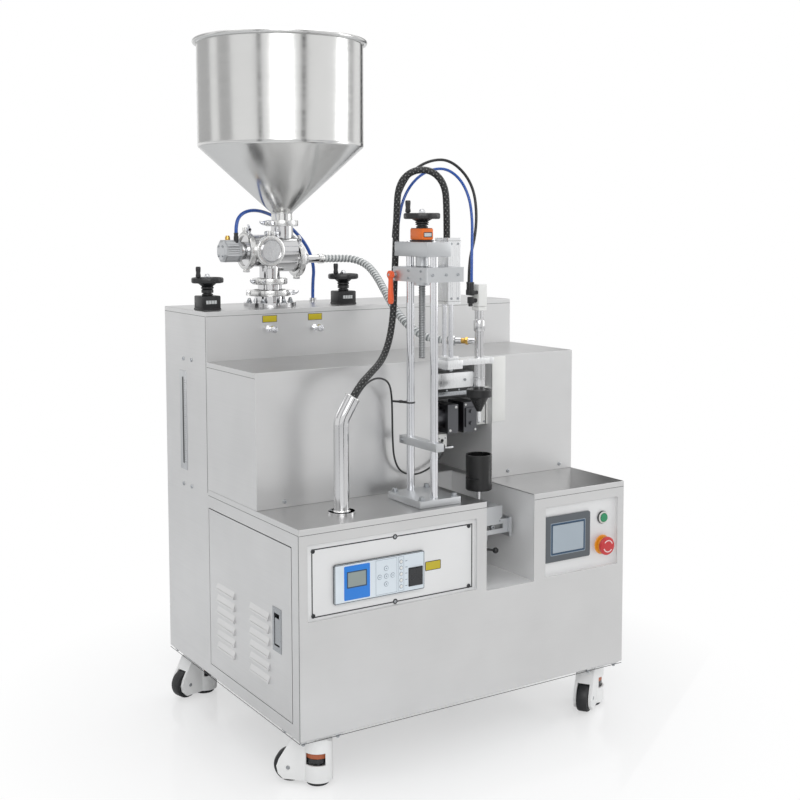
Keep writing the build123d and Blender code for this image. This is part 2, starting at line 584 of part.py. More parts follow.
def lock_lever():
    """Ball lever that turns on a boss on the bay's left wall."""
    x = lever_boss_x()
    solid = rod_y(x, LEVER_Y - 14, LEVER_Y - SEAT, LEVER_Z, 9)
    solid += rod_y(x, LEVER_Y - SEAT, LEVER_Y + 10, LEVER_Z, 4)
    y = LEVER_Y - 8
    tip = (FILL_X + 13, LEVER_Y - 28, LEVER_Z - 12)
    run = Vector(tip[0] - x, tip[1] - y, tip[2] - LEVER_Z)
    solid += extrude(Plane(origin=(x, y, LEVER_Z), z_dir=run) * Circle(2.5), amount=run.length)
    return solid + Pos(*tip) * Sphere(6.5)


def seal_rails():
    """Fixed pieces of the two bays: cup rail, lever boss, beam, guide rail, bracket and sensor."""
    wall = BAY_X0
    cup_rail = box(wall, wall + 16, 20, CUP_BAY_BACK - 10, RAIL_Z0, RAIL_Z1)
    boss = box(wall, wall + 26, LEVER_Y, LEVER_Y + 14, LEVER_Z - 10, LEVER_Z + 10)
    boss -= rod_y(lever_boss_x(), LEVER_Y - 1, LEVER_Y + 12, LEVER_Z, 4 + FIT)
    beam = box(wall, FILL_X + 49, SEAL_Y - 12, SEAL_Y + 23, DECK_Z + 204, DECK_Z + 238)
    rail = box(wall, FILL_X + 37, SEAL_Y - 9, SEAL_Y + 21, DECK_Z + 182, DECK_Z + 204)
    bracket = box(FILL_X + 48, FILL_X + 76, SEAL_Y - 20, SEAL_Y - 12, DECK_Z + 120, DECK_Z + 176)
    bracket += box(FILL_X + 72, SEAL_BAY_X1, SEAL_Y - 20, SEAL_Y - 12, DECK_Z + 120, DECK_Z + 204)
    plate = box(wall, FILL_X - 12, SEAL_Y - 20, SEAL_Y + 2, DECK_Z + 75, DECK_Z + 79)
    sensor = box(FILL_X - 52, FILL_X - 26, SEAL_Y - 16, SEAL_Y, DECK_Z + 79, DECK_Z + 107)
    return [cup_rail, boss, beam, rail, bracket, plate, sensor]


def horn():
    """Ultrasonic stack: transducer, booster and the jaw that meets the tube."""
    tip = FILL_X - JAW_GAP
    solid = box(tip - 27, tip, SEAL_Y - 32, SEAL_Y + 32, JAW_Z - 32, JAW_Z + 30)
    solid -= box(tip - 28, tip - 10, SEAL_Y - 20, SEAL_Y - 14, JAW_Z - 22, JAW_Z + 20)
    solid -= box(tip - 28, tip - 10, SEAL_Y + 14, SEAL_Y + 20, JAW_Z - 22, JAW_Z + 20)
    solid += rod_x(tip - 130, tip - 26, SEAL_Y, JAW_Z, HORN_R)
    solid += rod_x(tip - 142, tip - 130, SEAL_Y, JAW_Z, HORN_R + 8)
    solid += rod_x(tip - 250, tip - 142, SEAL_Y, JAW_Z, HORN_R + 3)
    return solid + rod_x(tip - 290, tip - 250, SEAL_Y, JAW_Z, 12)


def horn_slide():
    """Ways inside the hood on which the ultrasonic stack runs."""
    tip = FILL_X - JAW_GAP
    x0, x1 = tip - 250, tip - 142
    low = JAW_Z - HORN_R - 3
    solid = box(x0, x1, SEAL_Y - 24, SEAL_Y + 24, DECK_Z, low - 6)
    solid += box(x0, x1, SEAL_Y - 24, SEAL_Y + 24, low - 8, JAW_Z - 10)
    return solid - rod_x(x0 - 1, x1 + 1, SEAL_Y, JAW_Z, HORN_R + 3 + FIT)


def anvil():
    """Anvil jaw on the rod of its air cylinder."""
    tip = FILL_X + JAW_GAP
    solid = box(tip, tip + 35, SEAL_Y - 30, SEAL_Y + 30, JAW_Z - 34, JAW_Z + 32)
    solid += box(tip + 4, tip + 31, SEAL_Y - 34, SEAL_Y - 30, JAW_Z - 22, JAW_Z + 20)
    for z in (JAW_Z - 14, JAW_Z + 12):
        solid += rod_y(tip + 17, SEAL_Y - 38, SEAL_Y - 34, z, 4)
    return solid + rod_x(tip + 34, SEAL_BAY_X1 + 60, SEAL_Y, JAW_Z, PUSH_ROD_R)


def anvil_cylinder():
    x0 = SEAL_BAY_X1 + SHEET
    solid = box(x0, x0 + 126, SEAL_Y - 28, SEAL_Y + 28, JAW_Z - 28, JAW_Z + 28)
    return solid - rod_x(x0 - 1, x0 + 76, SEAL_Y, JAW_Z, PUSH_ROD_R + FIT)


# Hopper, valve and metering unit

def hopper():
    """Bowl with its rolled rim, and the cone welded under it with its neck and flange."""
    t = HOPPER_WALL
    bowl = ring_z(0, 0, CONE_Z, RIM_Z - RIM_R, HOPPER_R, HOPPER_R - t)
    bowl += Pos(0, 0, RIM_Z - RIM_R) * Torus(HOPPER_R + RIM_R - t / 2, RIM_R)
    profile = [(NECK_R, NECK_Z), (NECK_R, NECK_TOP_Z), (HOPPER_R, CONE_Z), (HOPPER_R - t, CONE_Z),
               (NECK_R - t, NECK_TOP_Z), (NECK_R - t, NECK_Z)]
    cone = revolve(Plane.XZ * make_face(Polyline(*profile, close=True)), Axis.Z)
    cone += ring_z(0, 0, NECK_Z, NECK_Z + FLANGE_T, NECK_R + 8, NECK_R - t)
    return [Pos(HOPPER_X, STACK_Y, 0) * solid for solid in (bowl, cone)]


def valve_body():
    """Barrel of the rotary valve with its four branches and their flanges, bored right through."""
    x0, x1 = VALVE_X0, VALVE_X1
    solid = rod_x(x0 + CLAMP_HALF + 1, x1, STACK_Y, VALVE_Z, VALVE_R)
    solid += rod_x(x0, x0 + CLAMP_HALF + 1, STACK_Y, VALVE_Z, VALVE_R - 4)
    solid += rod_x(x0 - FLANGE_T, x0, STACK_Y, VALVE_Z, VALVE_R + 1)
    solid += rod_z(HOPPER_X, STACK_Y, VALVE_Z, NECK_Z - FLANGE_T, 25)
    solid += rod_z(HOPPER_X, STACK_Y, NECK_Z - FLANGE_T, NECK_Z, NECK_R + 8)
    solid += rod_z(STACK_X, STACK_Y, REAR_Z + 58, VALVE_Z, 23)
    solid += rod_z(STACK_X, STACK_Y, REAR_Z + 55, REAR_Z + 58, PORT_R)
    solid += rod_y(x0 + 34, FRONT_FLANGE_Y + FLANGE_T, STACK_Y, VALVE_Z, 24)
    solid += rod_y(x0 + 34, FRONT_FLANGE_Y, FRONT_FLANGE_Y + FLANGE_T, VALVE_Z, 28)
    solid += rod_x(x1 - 48, x1 + 9, STACK_Y, OUTLET_Z, 27)
    solid += rod_x(x1 + 9, x1 + 12, STACK_Y, OUTLET_Z, 33)
    solid -= rod_x(x0 - FLANGE_T - 1, x1 - 4, STACK_Y, VALVE_Z, ROTOR_R + FIT)
    solid -= rod_z(HOPPER_X, STACK_Y, VALVE_Z, NECK_Z + 1, NECK_R - HOPPER_WALL)
    solid -= rod_z(STACK_X, STACK_Y, REAR_Z + 54, VALVE_Z, 20)
    solid -= rod_y(x0 + 34, FRONT_FLANGE_Y - 1, STACK_Y, VALVE_Z, 20)
    return solid - rod_x(x1 - 30, x1 + 13, STACK_Y, OUTLET_Z, 15)


def valve_rotor():
    """Plug that turns in the valve's barrel, with a passage cut across it and its drive shaft."""
    solid = rod_x(VALVE_X0 + 2, VALVE_X1 - 5, STACK_Y, VALVE_Z, ROTOR_R)
    passage = box(STACK_X - 16, HOPPER_X + 16, STACK_Y - 12, STACK_Y + 12, VALVE_Z - 40, VALVE_Z + 40)
    solid -= passage
    return solid + rod_x(VALVE_X0 - 40, VALVE_X0 + 3, STACK_Y, VALVE_Z, 7)


def clamp_ring(pipe_r, flange_r, ring_r):
    """Sanitary clamp about Z: a ring with a groove for two flanges, ears and a wing nut."""
    h = CLAMP_HALF
    solid = ring_z(0, 0, -h, h, ring_r, pipe_r + 2)
    solid -= ring_z(0, 0, -FLANGE_T - SEAT, FLANGE_T + SEAT, flange_r + SEAT, pipe_r + 1)
    solid += box(ring_r - 3, ring_r + 10, -5, 5, -h + 1, h - 1)
    solid += box(-ring_r - 6, -ring_r + 3, -6, 6, -h + 1, h - 1)
    solid += Pos(ring_r + 5, -12, 0) * Rot(90, 0, 0) * Cylinder(3, 16)
    solid += box(ring_r - 5, ring_r + 15, -20, -16, -4, 4)
    return solid


def tri_clamps():
    """The six sanitary clamps of the valve stack."""
    neck = Pos(HOPPER_X, STACK_Y, NECK_Z) * Rot(0, 0, 200) * clamp_ring(25, NECK_R + 8, 37)
    upper = Pos(STACK_X, STACK_Y, REAR_Z + 55) * Rot(0, 0, 215) * clamp_ring(27, PORT_R, 40)
    lower = Pos(STACK_X, STACK_Y, REAR_Z + 29) * Rot(0, 0, 340) * clamp_ring(34, PORT_R + 6, 47)
    left = Pos(VALVE_X0 - FLANGE_T, STACK_Y, VALVE_Z) * Rot(0, -90, 0) * clamp_ring(32, VALVE_R + 1, 42)
    right = Pos(VALVE_X1 + 12, STACK_Y, OUTLET_Z) * Rot(0, -90, 0) * clamp_ring(27, 33, 39)
    front = Pos(VALVE_X0 + 34, FRONT_FLANGE_Y, VALVE_Z) * Rot(90, 0, 0) * Rot(0, 0, 90)
    return [neck, upper, lower, left, right, front * clamp_ring(24, 28, 34)]


def valve_fittings():
    """Foot flange with its pipe, spool, blind cap, outlet reducer with its barb, and two fittings."""
    x, y, z = STACK_X, STACK_Y, REAR_Z
    foot = rod_z(x, y, z, z + 8, 59) + rod_z(x, y, z + 8, z + 26, PORT_R)
    foot += rod_z(x, y, z + 26, z + 29, PORT_R + 6)
    foot -= rod_z(x, y, z - 1, z + 30, METER_BORE_R)
    spool = rod_z(x, y, z + 29, z + 32, PORT_R + 6) + rod_z(x, y, z + 32, z + 52, 27)
    spool += rod_z(x, y, z + 52, z + 55, PORT_R)
    spool -= rod_z(x, y, z + 28, z + 56, 23)
    cap = rod_y(VALVE_X0 + 34, FRONT_FLANGE_Y - FLANGE_T, FRONT_FLANGE_Y, VALVE_Z, 28)
    cap += rod_y(VALVE_X0 + 34, FRONT_FLANGE_Y - 6, FRONT_FLANGE_Y - FLANGE_T, VALVE_Z, 22)
    out_x = VALVE_X1 + 12
    reducer = rod_x(out_x, out_x + 3, y, OUTLET_Z, 33)
    reducer += Pos(out_x + 15, y, OUTLET_Z) * Rot(0, 90, 0) * Cone(27, 12, 24)
    reducer += rod_x(out_x + 26, out_x + 57, y, OUTLET_Z, 9)
    reducer -= rod_x(out_x - 1, out_x + 58, y, OUTLET_Z, 6)
    entry = rod_z(*TUBE_ENTRY, z, z + 8, 8)
    return [foot, spool, cap, reducer, entry]


def valve_actuator():
    """Air actuator of the valve, its mounting flange, gland and tube fitting."""
    x1 = VALVE_X0 - FLANGE_T
    body = extrude(Plane.YZ * RegularPolygon(26, 8, rotation=22.5), amount=x1 - 20 - 87)
    solid = Pos(87, STACK_Y, VALVE_Z) * body
    solid += rod_x(x1 - 22, x1 - 3, STACK_Y, VALVE_Z, 20)
    solid += rod_x(x1 - FLANGE_T, x1, STACK_Y, VALVE_Z, VALVE_R + 1)
    solid -= rod_x(VALVE_X0 - 42, x1 + 1, STACK_Y, VALVE_Z, 7 + FIT)
    solid += rod_z(104, STACK_Y, VALVE_Z + 20, VALVE_Z + 34, 7)
    return solid + rod_z(120, STACK_Y - 10, VALVE_Z + 18, VALVE_Z + 39, 5.5)


def metering_unit():
    """Measuring cylinder under the foot flange, with its drive cylinder hung on tie rods."""
    x, y = STACK_X, STACK_Y
    low = REAR_Z - METER_H
    drive_top = low - 63
    tube = ring_z(x, y, low, REAR_Z, PORT_R, METER_BORE_R)
    plate = box(x - 37, x + 37, y - 37, y + 37, low - 8, low) - rod_z(x, y, low - 9, low + 1, 14)
    drive = box(x - 33, x + 33, y - 33, y + 33, drive_top - 155, drive_top)
    drive -= rod_z(x, y, drive_top - 145, drive_top - 12, 26)
    drive -= rod_z(x, y, drive_top - 13, drive_top + 1, DRIVE_ROD_R + FIT)
    ties = [rod_z(x + sx, y + sy, drive_top, low - 8, 4) for sx in (-28, 28) for sy in (-28, 28)]
    return [tube, plate, drive] + ties


def metering_piston():
    """Measuring piston and drive piston on one rod, at the bottom of their stroke."""
    x, y = STACK_X, STACK_Y
    low = REAR_Z - METER_H
    drive_top = low - 63
    solid = rod_z(x, y, low + 20, low + 38, METER_BORE_R - FIT)
    solid += rod_z(x, y, drive_top - 130, low + 21, DRIVE_ROD_R)
    return solid + rod_z(x, y, drive_top - 140, drive_top - 126, 26 - FIT)


def control_plate():
    """Mounting plate inside the rear cabinet with the controller, supply and valve manifold."""
    x0, y1, z0 = 430.0, DEPTH - 60, BASE_Z + 80
    plate = box(x0, WIDTH - SHEET, y1, y1 + 3, z0, z0 + 560)
    solids = [plate]
    for x, w, z, h, d in ((x0 + 30, 120, z0 + 400, 100, 70), (x0 + 180, 110, z0 + 380, 125, 60),
                          (x0 + 40, 240, z0 + 240, 60, 55), (x0 + 40, 200, z0 + 60, 90, 50)):
        solids.append(box(x, x + w, y1 - d, y1, z, z + h))
    return solids


def cable_pipe():
    """Bent steel pipe that brings the cables up through the deck, with a flange."""
    mouth = Vector(*PIPE_MOUTH)
    bend = Vector(PIPE_X, PIPE_Y, PIPE_BEND_Z)
    foot = Vector(PIPE_X, PIPE_Y, DECK_Z - 8)
    path = FilletPolyline(foot, bend, mouth, radius=45)
    outer = sweep(Plane(origin=foot, z_dir=(0, 0, 1)) * Circle(PIPE_R), path=path)
    inner = sweep(Plane(origin=foot, z_dir=(0, 0, 1)) * Circle(PIPE_R - PIPE_WALL), path=path)
    flange = ring_z(PIPE_X, PIPE_Y, DECK_Z, DECK_Z + 5, 27, PIPE_R)
    return outer - inner + flange


def fasteners():
    """Screws of the covers and panels, bolts of the column and valve feet, and the door pins."""
    solids = door_pins()
    x0, x1, z0, z1 = GEN_WINDOW
    for x in (x0 + 15, x1 - 15):
        for z in (z0 + 8, z1 - 10):
            solids.append(rod_y(x, RECESS - 2, RECESS, z, 3))
    for x in (62, 617, 764):
        solids.append(rod_y(x, HOOD_Y - 2, HOOD_Y, DECK_Z + 12, 4))
    for y, z in ((534, 671), (490, 672), (543, 393), (498, 394)):
        solids.append(rod_x(-2, 0, y, BASE_Z + z, 4))
    for x in (COLUMN_X - 34, COLUMN_X + 44):
        for y in (COLUMN_Y - 50, COLUMN_Y + 50):
            solids.append(rod_z(x, y, DECK_Z + COLUMN_FOOT, DECK_Z + COLUMN_FOOT + 5, 5))
    for turn in range(6):
        a = math.radians(turn * 60 + 45)
        solids.append(rod_z(STACK_X + 47 * math.cos(a), STACK_Y + 47 * math.sin(a),
                            REAR_Z + 8, REAR_Z + 13, 5))
    cover_x = (BACK_MARGIN - 6, WIDTH / 2, WIDTH - BACK_MARGIN + 6)
    for x in cover_x:
        for z in (BASE_Z + BACK_MARGIN - 6, (BASE_Z + REAR_Z) / 2, REAR_Z - BACK_MARGIN + 6):
            if x != WIDTH / 2 or z != (BASE_Z + REAR_Z) / 2:
                solids.append(rod_y(x, DEPTH + SHEET, DEPTH + SHEET + 2, z, 4))
    for x, z in needle_valves():
        solids.append(rod_y(x, REAR_Y - 22, REAR_Y, z, 5))
        solids.append(rod_y(x, REAR_Y - 32, REAR_Y - 22, z, 9))
    return solids


def needle_valves():
    return ((149, BASE_Z + 738), (262, BASE_Z + 736))


# Castors

def castor_plates():
    solids = []
    for x, y, _ in CASTORS.values():
        plate = box(x - 45, x + 45, y - 45, y + 45, CASTOR_H - PLATE_T, CASTOR_H)
        solids.append(plate - rod_z(x, y, CASTOR_H - PLATE_T - 1, CASTOR_H - 1, 6 + FIT))
    return solids


def castor_housing():
    """Swivelling shell about Z, with cheeks round the wheel behind and a skirt round the foot (+X)."""
    top = CASTOR_H - PLATE_T - SEAT
    shoulder = top - 8
    hub_z = WHEEL_R + WHEEL_LIFT
    front = FOOT_OFF + THUMB_R + 5
    side = Polyline((-WHEEL_OFF - 10, 10), (-WHEEL_OFF - 20, 20), (-WHEEL_OFF - 23, hub_z + 2),
                    (-WHEEL_OFF - 18, hub_z + 16), (-WHEEL_OFF + 6, shoulder - 5), (-28, shoulder),
                    (front - 8, shoulder), (front, shoulder - 9), (front, 8), close=True)
    solid = extrude(Plane.XZ * make_face(side), amount=30, both=True)
    solid &= box(-80, FOOT_OFF, -20, 20, 0, top) + rod_z(FOOT_OFF, 0, 0, top, THUMB_R + 4.5)
    solid += rod_z(0, 0, shoulder - 1, top, SWIVEL_R) + rod_z(0, 0, top, CASTOR_H - 1 - SEAT, 6)
    solid -= rod_z(FOOT_OFF, 0, 7, THUMB_Z + 33, THUMB_R + 1)
    solid -= rod_z(FOOT_OFF, 0, THUMB_Z + 32, shoulder, FOOT_STEM_R + FIT)
    solid -= box(-6, FOOT_OFF + 20, -31, 31, THUMB_Z - 2, THUMB_Z + 22)
    solid -= rod_y(-WHEEL_OFF, -WHEEL_W / 2 - 1, WHEEL_W / 2 + 1, hub_z, WHEEL_R + 2)
    return solid - rod_y(-WHEEL_OFF, -21, 21, hub_z, AXLE_R + FIT)


def castor_wheel():
    hub_z = WHEEL_R + WHEEL_LIFT
    solid = rod_y(-WHEEL_OFF, -WHEEL_W / 2, WHEEL_W / 2, hub_z, WHEEL_R)
    solid = fillet(solid.edges().filter_by(GeomType.CIRCLE), 4)
    return solid + rod_y(-WHEEL_OFF, -19, 19, hub_z, AXLE_R)


def castor_foot():
    """Levelling foot: rubber pad, screw, and the thumb wheel that shows in the housing's windows."""
    solid = rod_z(FOOT_OFF, 0, 0, 10, FOOT_R) + rod_z(FOOT_OFF, 0, 9, THUMB_Z + 38, FOOT_STEM_R)
    solid += rod_z(FOOT_OFF, 0, THUMB_Z, THUMB_Z + 10, THUMB_R - 1)
    return solid + rod_z(FOOT_OFF, 0, THUMB_Z + 10, THUMB_Z + 20, THUMB_R)


# Cords, each from what it leaves to what it meets

BUNDLE = [(150, 71, 722), (176, 78, 754), (216, 102, 773), (262, 133, 792), (293, 154, 828),
          (306, 159, 880), (308, 158, 945), (309, 154, 1015), (310, 152, 1085), (313, 150, 1148),
          (336, 135, 1177), (370, 113, 1178), (393, 98, 1148), (395, 95, 1096), (395, 95, 1040)]
BLACK_TUBE = [(313, 170, 1040), (317, 170, 1090), (332, 170, 1140), (362, 169, 1180), (402, 167, 1200),
              (445, 164, 1203), (482, 158, 1178), (501, 148, 1140), (503, 140, 1090), (493, 132, 1040),
              (470, 122, 990), (470, 122, 945)]
BLUE_TUBE = [(324, 173, 1040), (329, 173, 1085), (344, 173, 1130), (372, 172, 1164), (408, 170, 1182),
             (444, 166, 1184), (474, 158, 1162), (488, 146, 1124), (487, 134, 1078), (478, 122, 1034),
             (467, 108, 988), (467, 108, 945)]
HOSE = [(331, 524, 988), (384, 524, 988), (415, 506, 987), (433, 475, 974), (432, 430, 948),
        (421, 370, 909), (411, 305, 868), (414, 245, 836), (430, 196, 821), (460, 156, 821)]
VALVE_TUBE = [(120, 514, 1048), (120, 514, 1072), (137, 521, 1092), (172, 540, 1100), (215, 566, 1096),
              (262, 584, 1080), (308, 594, 1052), (346, 600, 1012), (363, 603, 966), (358, 602, 926),
              (358, 602, 893)]
SENSOR_CABLE = [(151, 60, 721), (170, 58, 753), (204, 72, 767), (244, 98, 762), (277, 127, 745),
                (297, 151, 713), (303, 159, 672), (304, 160, 628), (307, 160, 584), (322, 161, 554),
                (358, 163, 541), (398, 164, 550), (430, 165, 574), (446, 171, 598), (446, 196, 598)]


def nodes():
    """Every node by name, in the machine's own frame."""
    made = {
        "base_cabinet": base_cabinet(),
        "side_door": side_door(),
        "latch_dish": latch_dish(),
        "latch_paddle": latch_paddle(),
        "bay_linings": bay_linings(),
        "hood": hood(),
        "rear_cabinet": rear_cabinet(),
        "rear_cover": rear_cover(),
        "mains_inlet": mains_inlet(),
        "fasteners": fasteners(),
        "generator": generator(),
        "rocker_switch": rocker_switch(),
        "touch_screen": touch_screen(),
        "button_collars": button_collars(),
        "start_button": start_button(),
        "stop_button": stop_button(),
        "column_frame": column_frame(),
        "column_wheel": column_wheel(),
        "position_counters": position_counters(),
        "carriage": carriage(),
        "clamp_lever": clamp_lever(),
        "nozzle_cylinder": nozzle_cylinder(),
        "yoke": yoke(),
        "filling_nozzle": filling_nozzle(),
        "cup_slide": cup_slide(),
        "tube_cup": tube_cup(),
        "lock_lever": lock_lever(),
        "seal_frame": seal_rails() + [horn_slide(), anvil_cylinder()],
        "horn": horn(),
        "anvil": anvil(),
        "hopper": hopper(),
        "valve_body": valve_body(),
        "valve_rotor": valve_rotor(),
        "tri_clamps": tri_clamps(),
        "valve_fittings": valve_fittings(),
        "valve_actuator": valve_actuator(),
        "metering_unit": metering_unit(),
        "metering_piston": metering_piston(),
        "stroke_wheel_left": stroke_wheel(*STROKE_AXES[0]),
        "stroke_wheel_right": stroke_wheel(*STROKE_AXES[1]),
        "control_plate": control_plate(),
        "cable_pipe": cable_pipe(),
        "castor_plates": castor_plates(),
        "cable_bundle": cord("cable_bundle", BUNDLE, 7),
        "nozzle_tubes": [cord("black tube", BLACK_TUBE, 3), cord("blue tube", BLUE_TUBE, 3)],
        "product_hose": cord("product_hose", HOSE, 9),
        "valve_tube": cord("valve_tube", VALVE_TUBE, 4),
        "sensor_cable": cord("sensor_cable", SENSOR_CABLE, 2),
    }
    for name, (x, y, turn) in CASTORS.items():
        place = Pos(x, y, 0) * Rot(0, 0, turn)
        made[f"castor_{name}_housing"] = place * castor_housing()
        made[f"castor_{name}_wheel"] = place * castor_wheel()
        made[f"castor_{name}_foot"] = place * castor_foot()
    return made


CORDS = ("cable_bundle", "nozzle_tubes", "product_hose", "valve_tube", "sensor_cable")


def middle(made):
    """Middle of the machine in X and Y, measured without its cords."""
    solids = []
    for name, shape in made.items():
        if name not in CORDS:
            solids.extend(shape if isinstance(shape, list) else [shape])
    size = Compound(children=solids).bounding_box()
    return (size.min.X + size.max.X) / 2, (size.min.Y + size.max.Y) / 2


def build():
    """Every node moved so that the origin is on the floor under the middle."""
    made = nodes()
    mid_x, mid_y = middle(made)
    print(f"origin moved by {mid_x:.3f}, {mid_y:.3f} mm")
    moved = {}
    for name, shape in made.items():
        solids = shape if isinstance(shape, list) else [shape]
        moved[name] = Compound(children=[Pos(-mid_x, -mid_y, 0) * s for s in solids])
    return moved


if __name__ == "__main__":
    os.makedirs("parts", exist_ok=True)
    for name, shape in build().items():
        export_step(shape, f"parts/{name}.step")
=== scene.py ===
# %% [markdown]
# # A tube filling and ultrasonic sealing machine
# The machine fills plastic tubes from a steel hopper and welds their ends shut between a horn
# and an anvil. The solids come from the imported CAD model, already in place. This lesson gives
# them their finishes, and adds the finer pieces that a drawing office leaves out.

# %% Load the frame
import json
import math
from itertools import product
import bmesh
import bpy
from mathutils import Matrix, Vector


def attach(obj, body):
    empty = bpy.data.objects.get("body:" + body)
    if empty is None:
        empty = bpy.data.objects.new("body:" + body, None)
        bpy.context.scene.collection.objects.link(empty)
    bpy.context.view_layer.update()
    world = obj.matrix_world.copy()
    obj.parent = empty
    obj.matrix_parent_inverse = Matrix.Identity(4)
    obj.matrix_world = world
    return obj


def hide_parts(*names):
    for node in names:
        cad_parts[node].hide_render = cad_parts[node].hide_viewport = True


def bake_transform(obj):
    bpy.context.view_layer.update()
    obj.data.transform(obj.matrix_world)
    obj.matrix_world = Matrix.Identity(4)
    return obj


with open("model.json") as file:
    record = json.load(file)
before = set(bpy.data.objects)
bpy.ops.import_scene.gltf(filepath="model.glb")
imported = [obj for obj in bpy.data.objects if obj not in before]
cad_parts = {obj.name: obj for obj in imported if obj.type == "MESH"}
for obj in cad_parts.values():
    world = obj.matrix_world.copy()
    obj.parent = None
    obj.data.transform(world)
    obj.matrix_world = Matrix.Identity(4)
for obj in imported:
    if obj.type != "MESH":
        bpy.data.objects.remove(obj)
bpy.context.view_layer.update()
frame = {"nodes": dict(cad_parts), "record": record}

# %% [markdown]
# Sizes are easiest to read in the millimetres of the workshop drawing, with X to the right, Y to
# the back and Z up, from the front left corner of the cabinet. One function takes such a place to
# the frame's metres, whose origin is on the floor under the middle of the machine. Another puts a
# new object into the scene.

# %% Workshop millimetres
MIDDLE_X, MIDDLE_Y, DECK = 399.4486, 353.475, 508.0
UP, DOWN, FRONT, BACK, LEFT, RIGHT = (0, 0, 1), (0, 0, -1), (0, -1, 0), (0, 1, 0), (-1, 0, 0), (1, 0, 0)


def at(x, y, z):
    return Vector(((x - MIDDLE_X) / 1000, (y - MIDDLE_Y) / 1000, z / 1000))


def linked(name, data):
    piece = bpy.data.objects.new(name, data)
    bpy.context.scene.collection.objects.link(piece)
    return piece


print("the deck is", at(0, 0, DECK).z, "m above the floor")

# %% [markdown]
# The camera stands low and to the left, turned 32 degrees, so that the front and the left side
# both show. A lens of 55 mm keeps the verticals nearly upright, and a small shift puts the horizon
# below the middle of the picture instead of tilting the camera further.

# %% Camera
lens = bpy.data.cameras.new("camera")
lens.sensor_width = 36
lens.lens = 55.31
lens.shift_y = -0.10
camera = linked("camera", lens)
camera.location = at(-1031.69, -1972.93, 1073.11)
camera.rotation_euler = (math.radians(90 - 4.58), math.radians(0.12), math.radians(-32.43))
bpy.context.scene.camera = camera
bpy.context.scene.view_settings.view_transform = "Standard"
print("camera height", camera.location.z)

# %% [markdown]
# Colours are written as a paint chart gives them, in sRGB hex, and one function turns them to the
# linear values that a shader works in. A second function adds a shader node with its settings and
# its links, so that each material reads as a short list. A link that names a node takes the first
# of its outputs.

# %% Colours and shader nodes


def linear(chart):
    values = [int(chart[i:i + 2], 16) / 255 for i in (1, 3, 5)]
    return [v / 12.92 if v <= 0.04045 else ((v + 0.055) / 1.055) ** 2.4 for v in values] + [1.0]


def add(tree, kind, settings=None, links=None):
    node = tree.nodes.new("ShaderNode" + kind)
    for name, value in (settings or {}).items():
        if isinstance(name, int) or name in node.inputs:
            node.inputs[name].default_value = value
        else:
            setattr(node, name, value)
    for name, source in (links or {}).items():
        tree.links.new(getattr(source, "outputs", [source])[0], node.inputs[name])
    return node


def empty_material(name):
    """A material with no nodes yet, and its tree."""
    material = bpy.data.materials.new(name)
    material.use_nodes = True
    material.node_tree.nodes.clear()
    return material, material.node_tree


print("middle grey is", round(linear("#808080")[0], 3))

# %% [markdown]
# The machine stands in a white studio. The world lights it evenly, and the camera, the metal and
# the glass see that world as plain white. Steel looks like steel only if it has something darker
# to reflect, so a photographer stands black felt cards beside the picture, hangs grey paper above
# the sides and the back, and lays a pale grey mat before the front. They cast no shadow here and
# the camera doesn't see them, only the metal does.

# %% World, floor, cards and lamps
FLOOR_R, CARD_TOP, CAMERA_TURN = 12, 3.4, -122
world = bpy.data.worlds.new("studio")
bpy.context.scene.world = world
world.use_nodes = True
tree = world.node_tree
tree.nodes.clear()
ray = add(tree, "LightPath").outputs
seen = add(tree, "Math", {"operation": "MAXIMUM"}, {0: ray["Is Camera Ray"], 1: ray["Is Glossy Ray"]})
seen = add(tree, "Math", {"operation": "MAXIMUM"}, {0: seen, 1: ray["Is Transmission Ray"]})
light = add(tree, "Background", {"Color": linear("#f4f6f8"), "Strength": 0.62})
white = add(tree, "Background", {"Color": (1, 1, 1, 1), "Strength": 1.0})
both = add(tree, "MixShader", {}, {0: seen, 1: light, 2: white})
add(tree, "OutputWorld", {}, {"Surface": both})

floor_paint, tree = empty_material("floor_paint")
place = add(tree, "TexCoord").outputs["Object"]
far = add(tree, "VectorMath", {"operation": "LENGTH"}, {0: place}).outputs["Value"]
far = add(tree, "MapRange", {"From Min": 0.4, "From Max": 0.9, "To Min": 0.5}, {"Value": far})
ray = add(tree, "LightPath").outputs
seen = add(tree, "Math", {"operation": "MULTIPLY"}, {0: far, 1: ray["Is Camera Ray"]})
matt = add(tree, "BsdfPrincipled", {"Base Color": linear("#fbfbfb"), "Roughness": 0.12})
glow = add(tree, "Emission", {"Color": (1, 1, 1, 1), "Strength": 1.0})
both = add(tree, "MixShader", {}, {0: seen, 1: matt, 2: glow})
add(tree, "OutputMaterial", {}, {"Surface": both})


def plain_material(name, kind, chart):
    material, tree = empty_material(name)
    add(tree, "OutputMaterial", {}, {"Surface": add(tree, kind, {"Color": linear(chart)})})
    return material


def flat_piece(name, corners, material, hidden=True):
    """A flat piece of the studio. A hidden one shows in metal and glass and nowhere else."""
    mesh = bpy.data.meshes.new(name)
    mesh.from_pydata(corners, [], [tuple(range(len(corners)))])
    mesh.materials.append(material)
    piece = linked(name, mesh)
    if hidden:
        piece.visible_camera = piece.visible_diffuse = piece.visible_shadow = False


def softbox(name, place, size, power):
    """A lamp with a large face, aimed at the middle of the machine."""
    lamp = bpy.data.lights.new(name, "AREA")
    lamp.shape, lamp.size, lamp.size_y, lamp.energy = "RECTANGLE", size[0], size[1], power
    piece = linked(name, lamp)
    piece.location = place
    piece.rotation_euler = (Vector((0, 0, 0.75)) - Vector(place)).to_track_quat("-Z", "Y").to_euler()
    piece.visible_camera = False


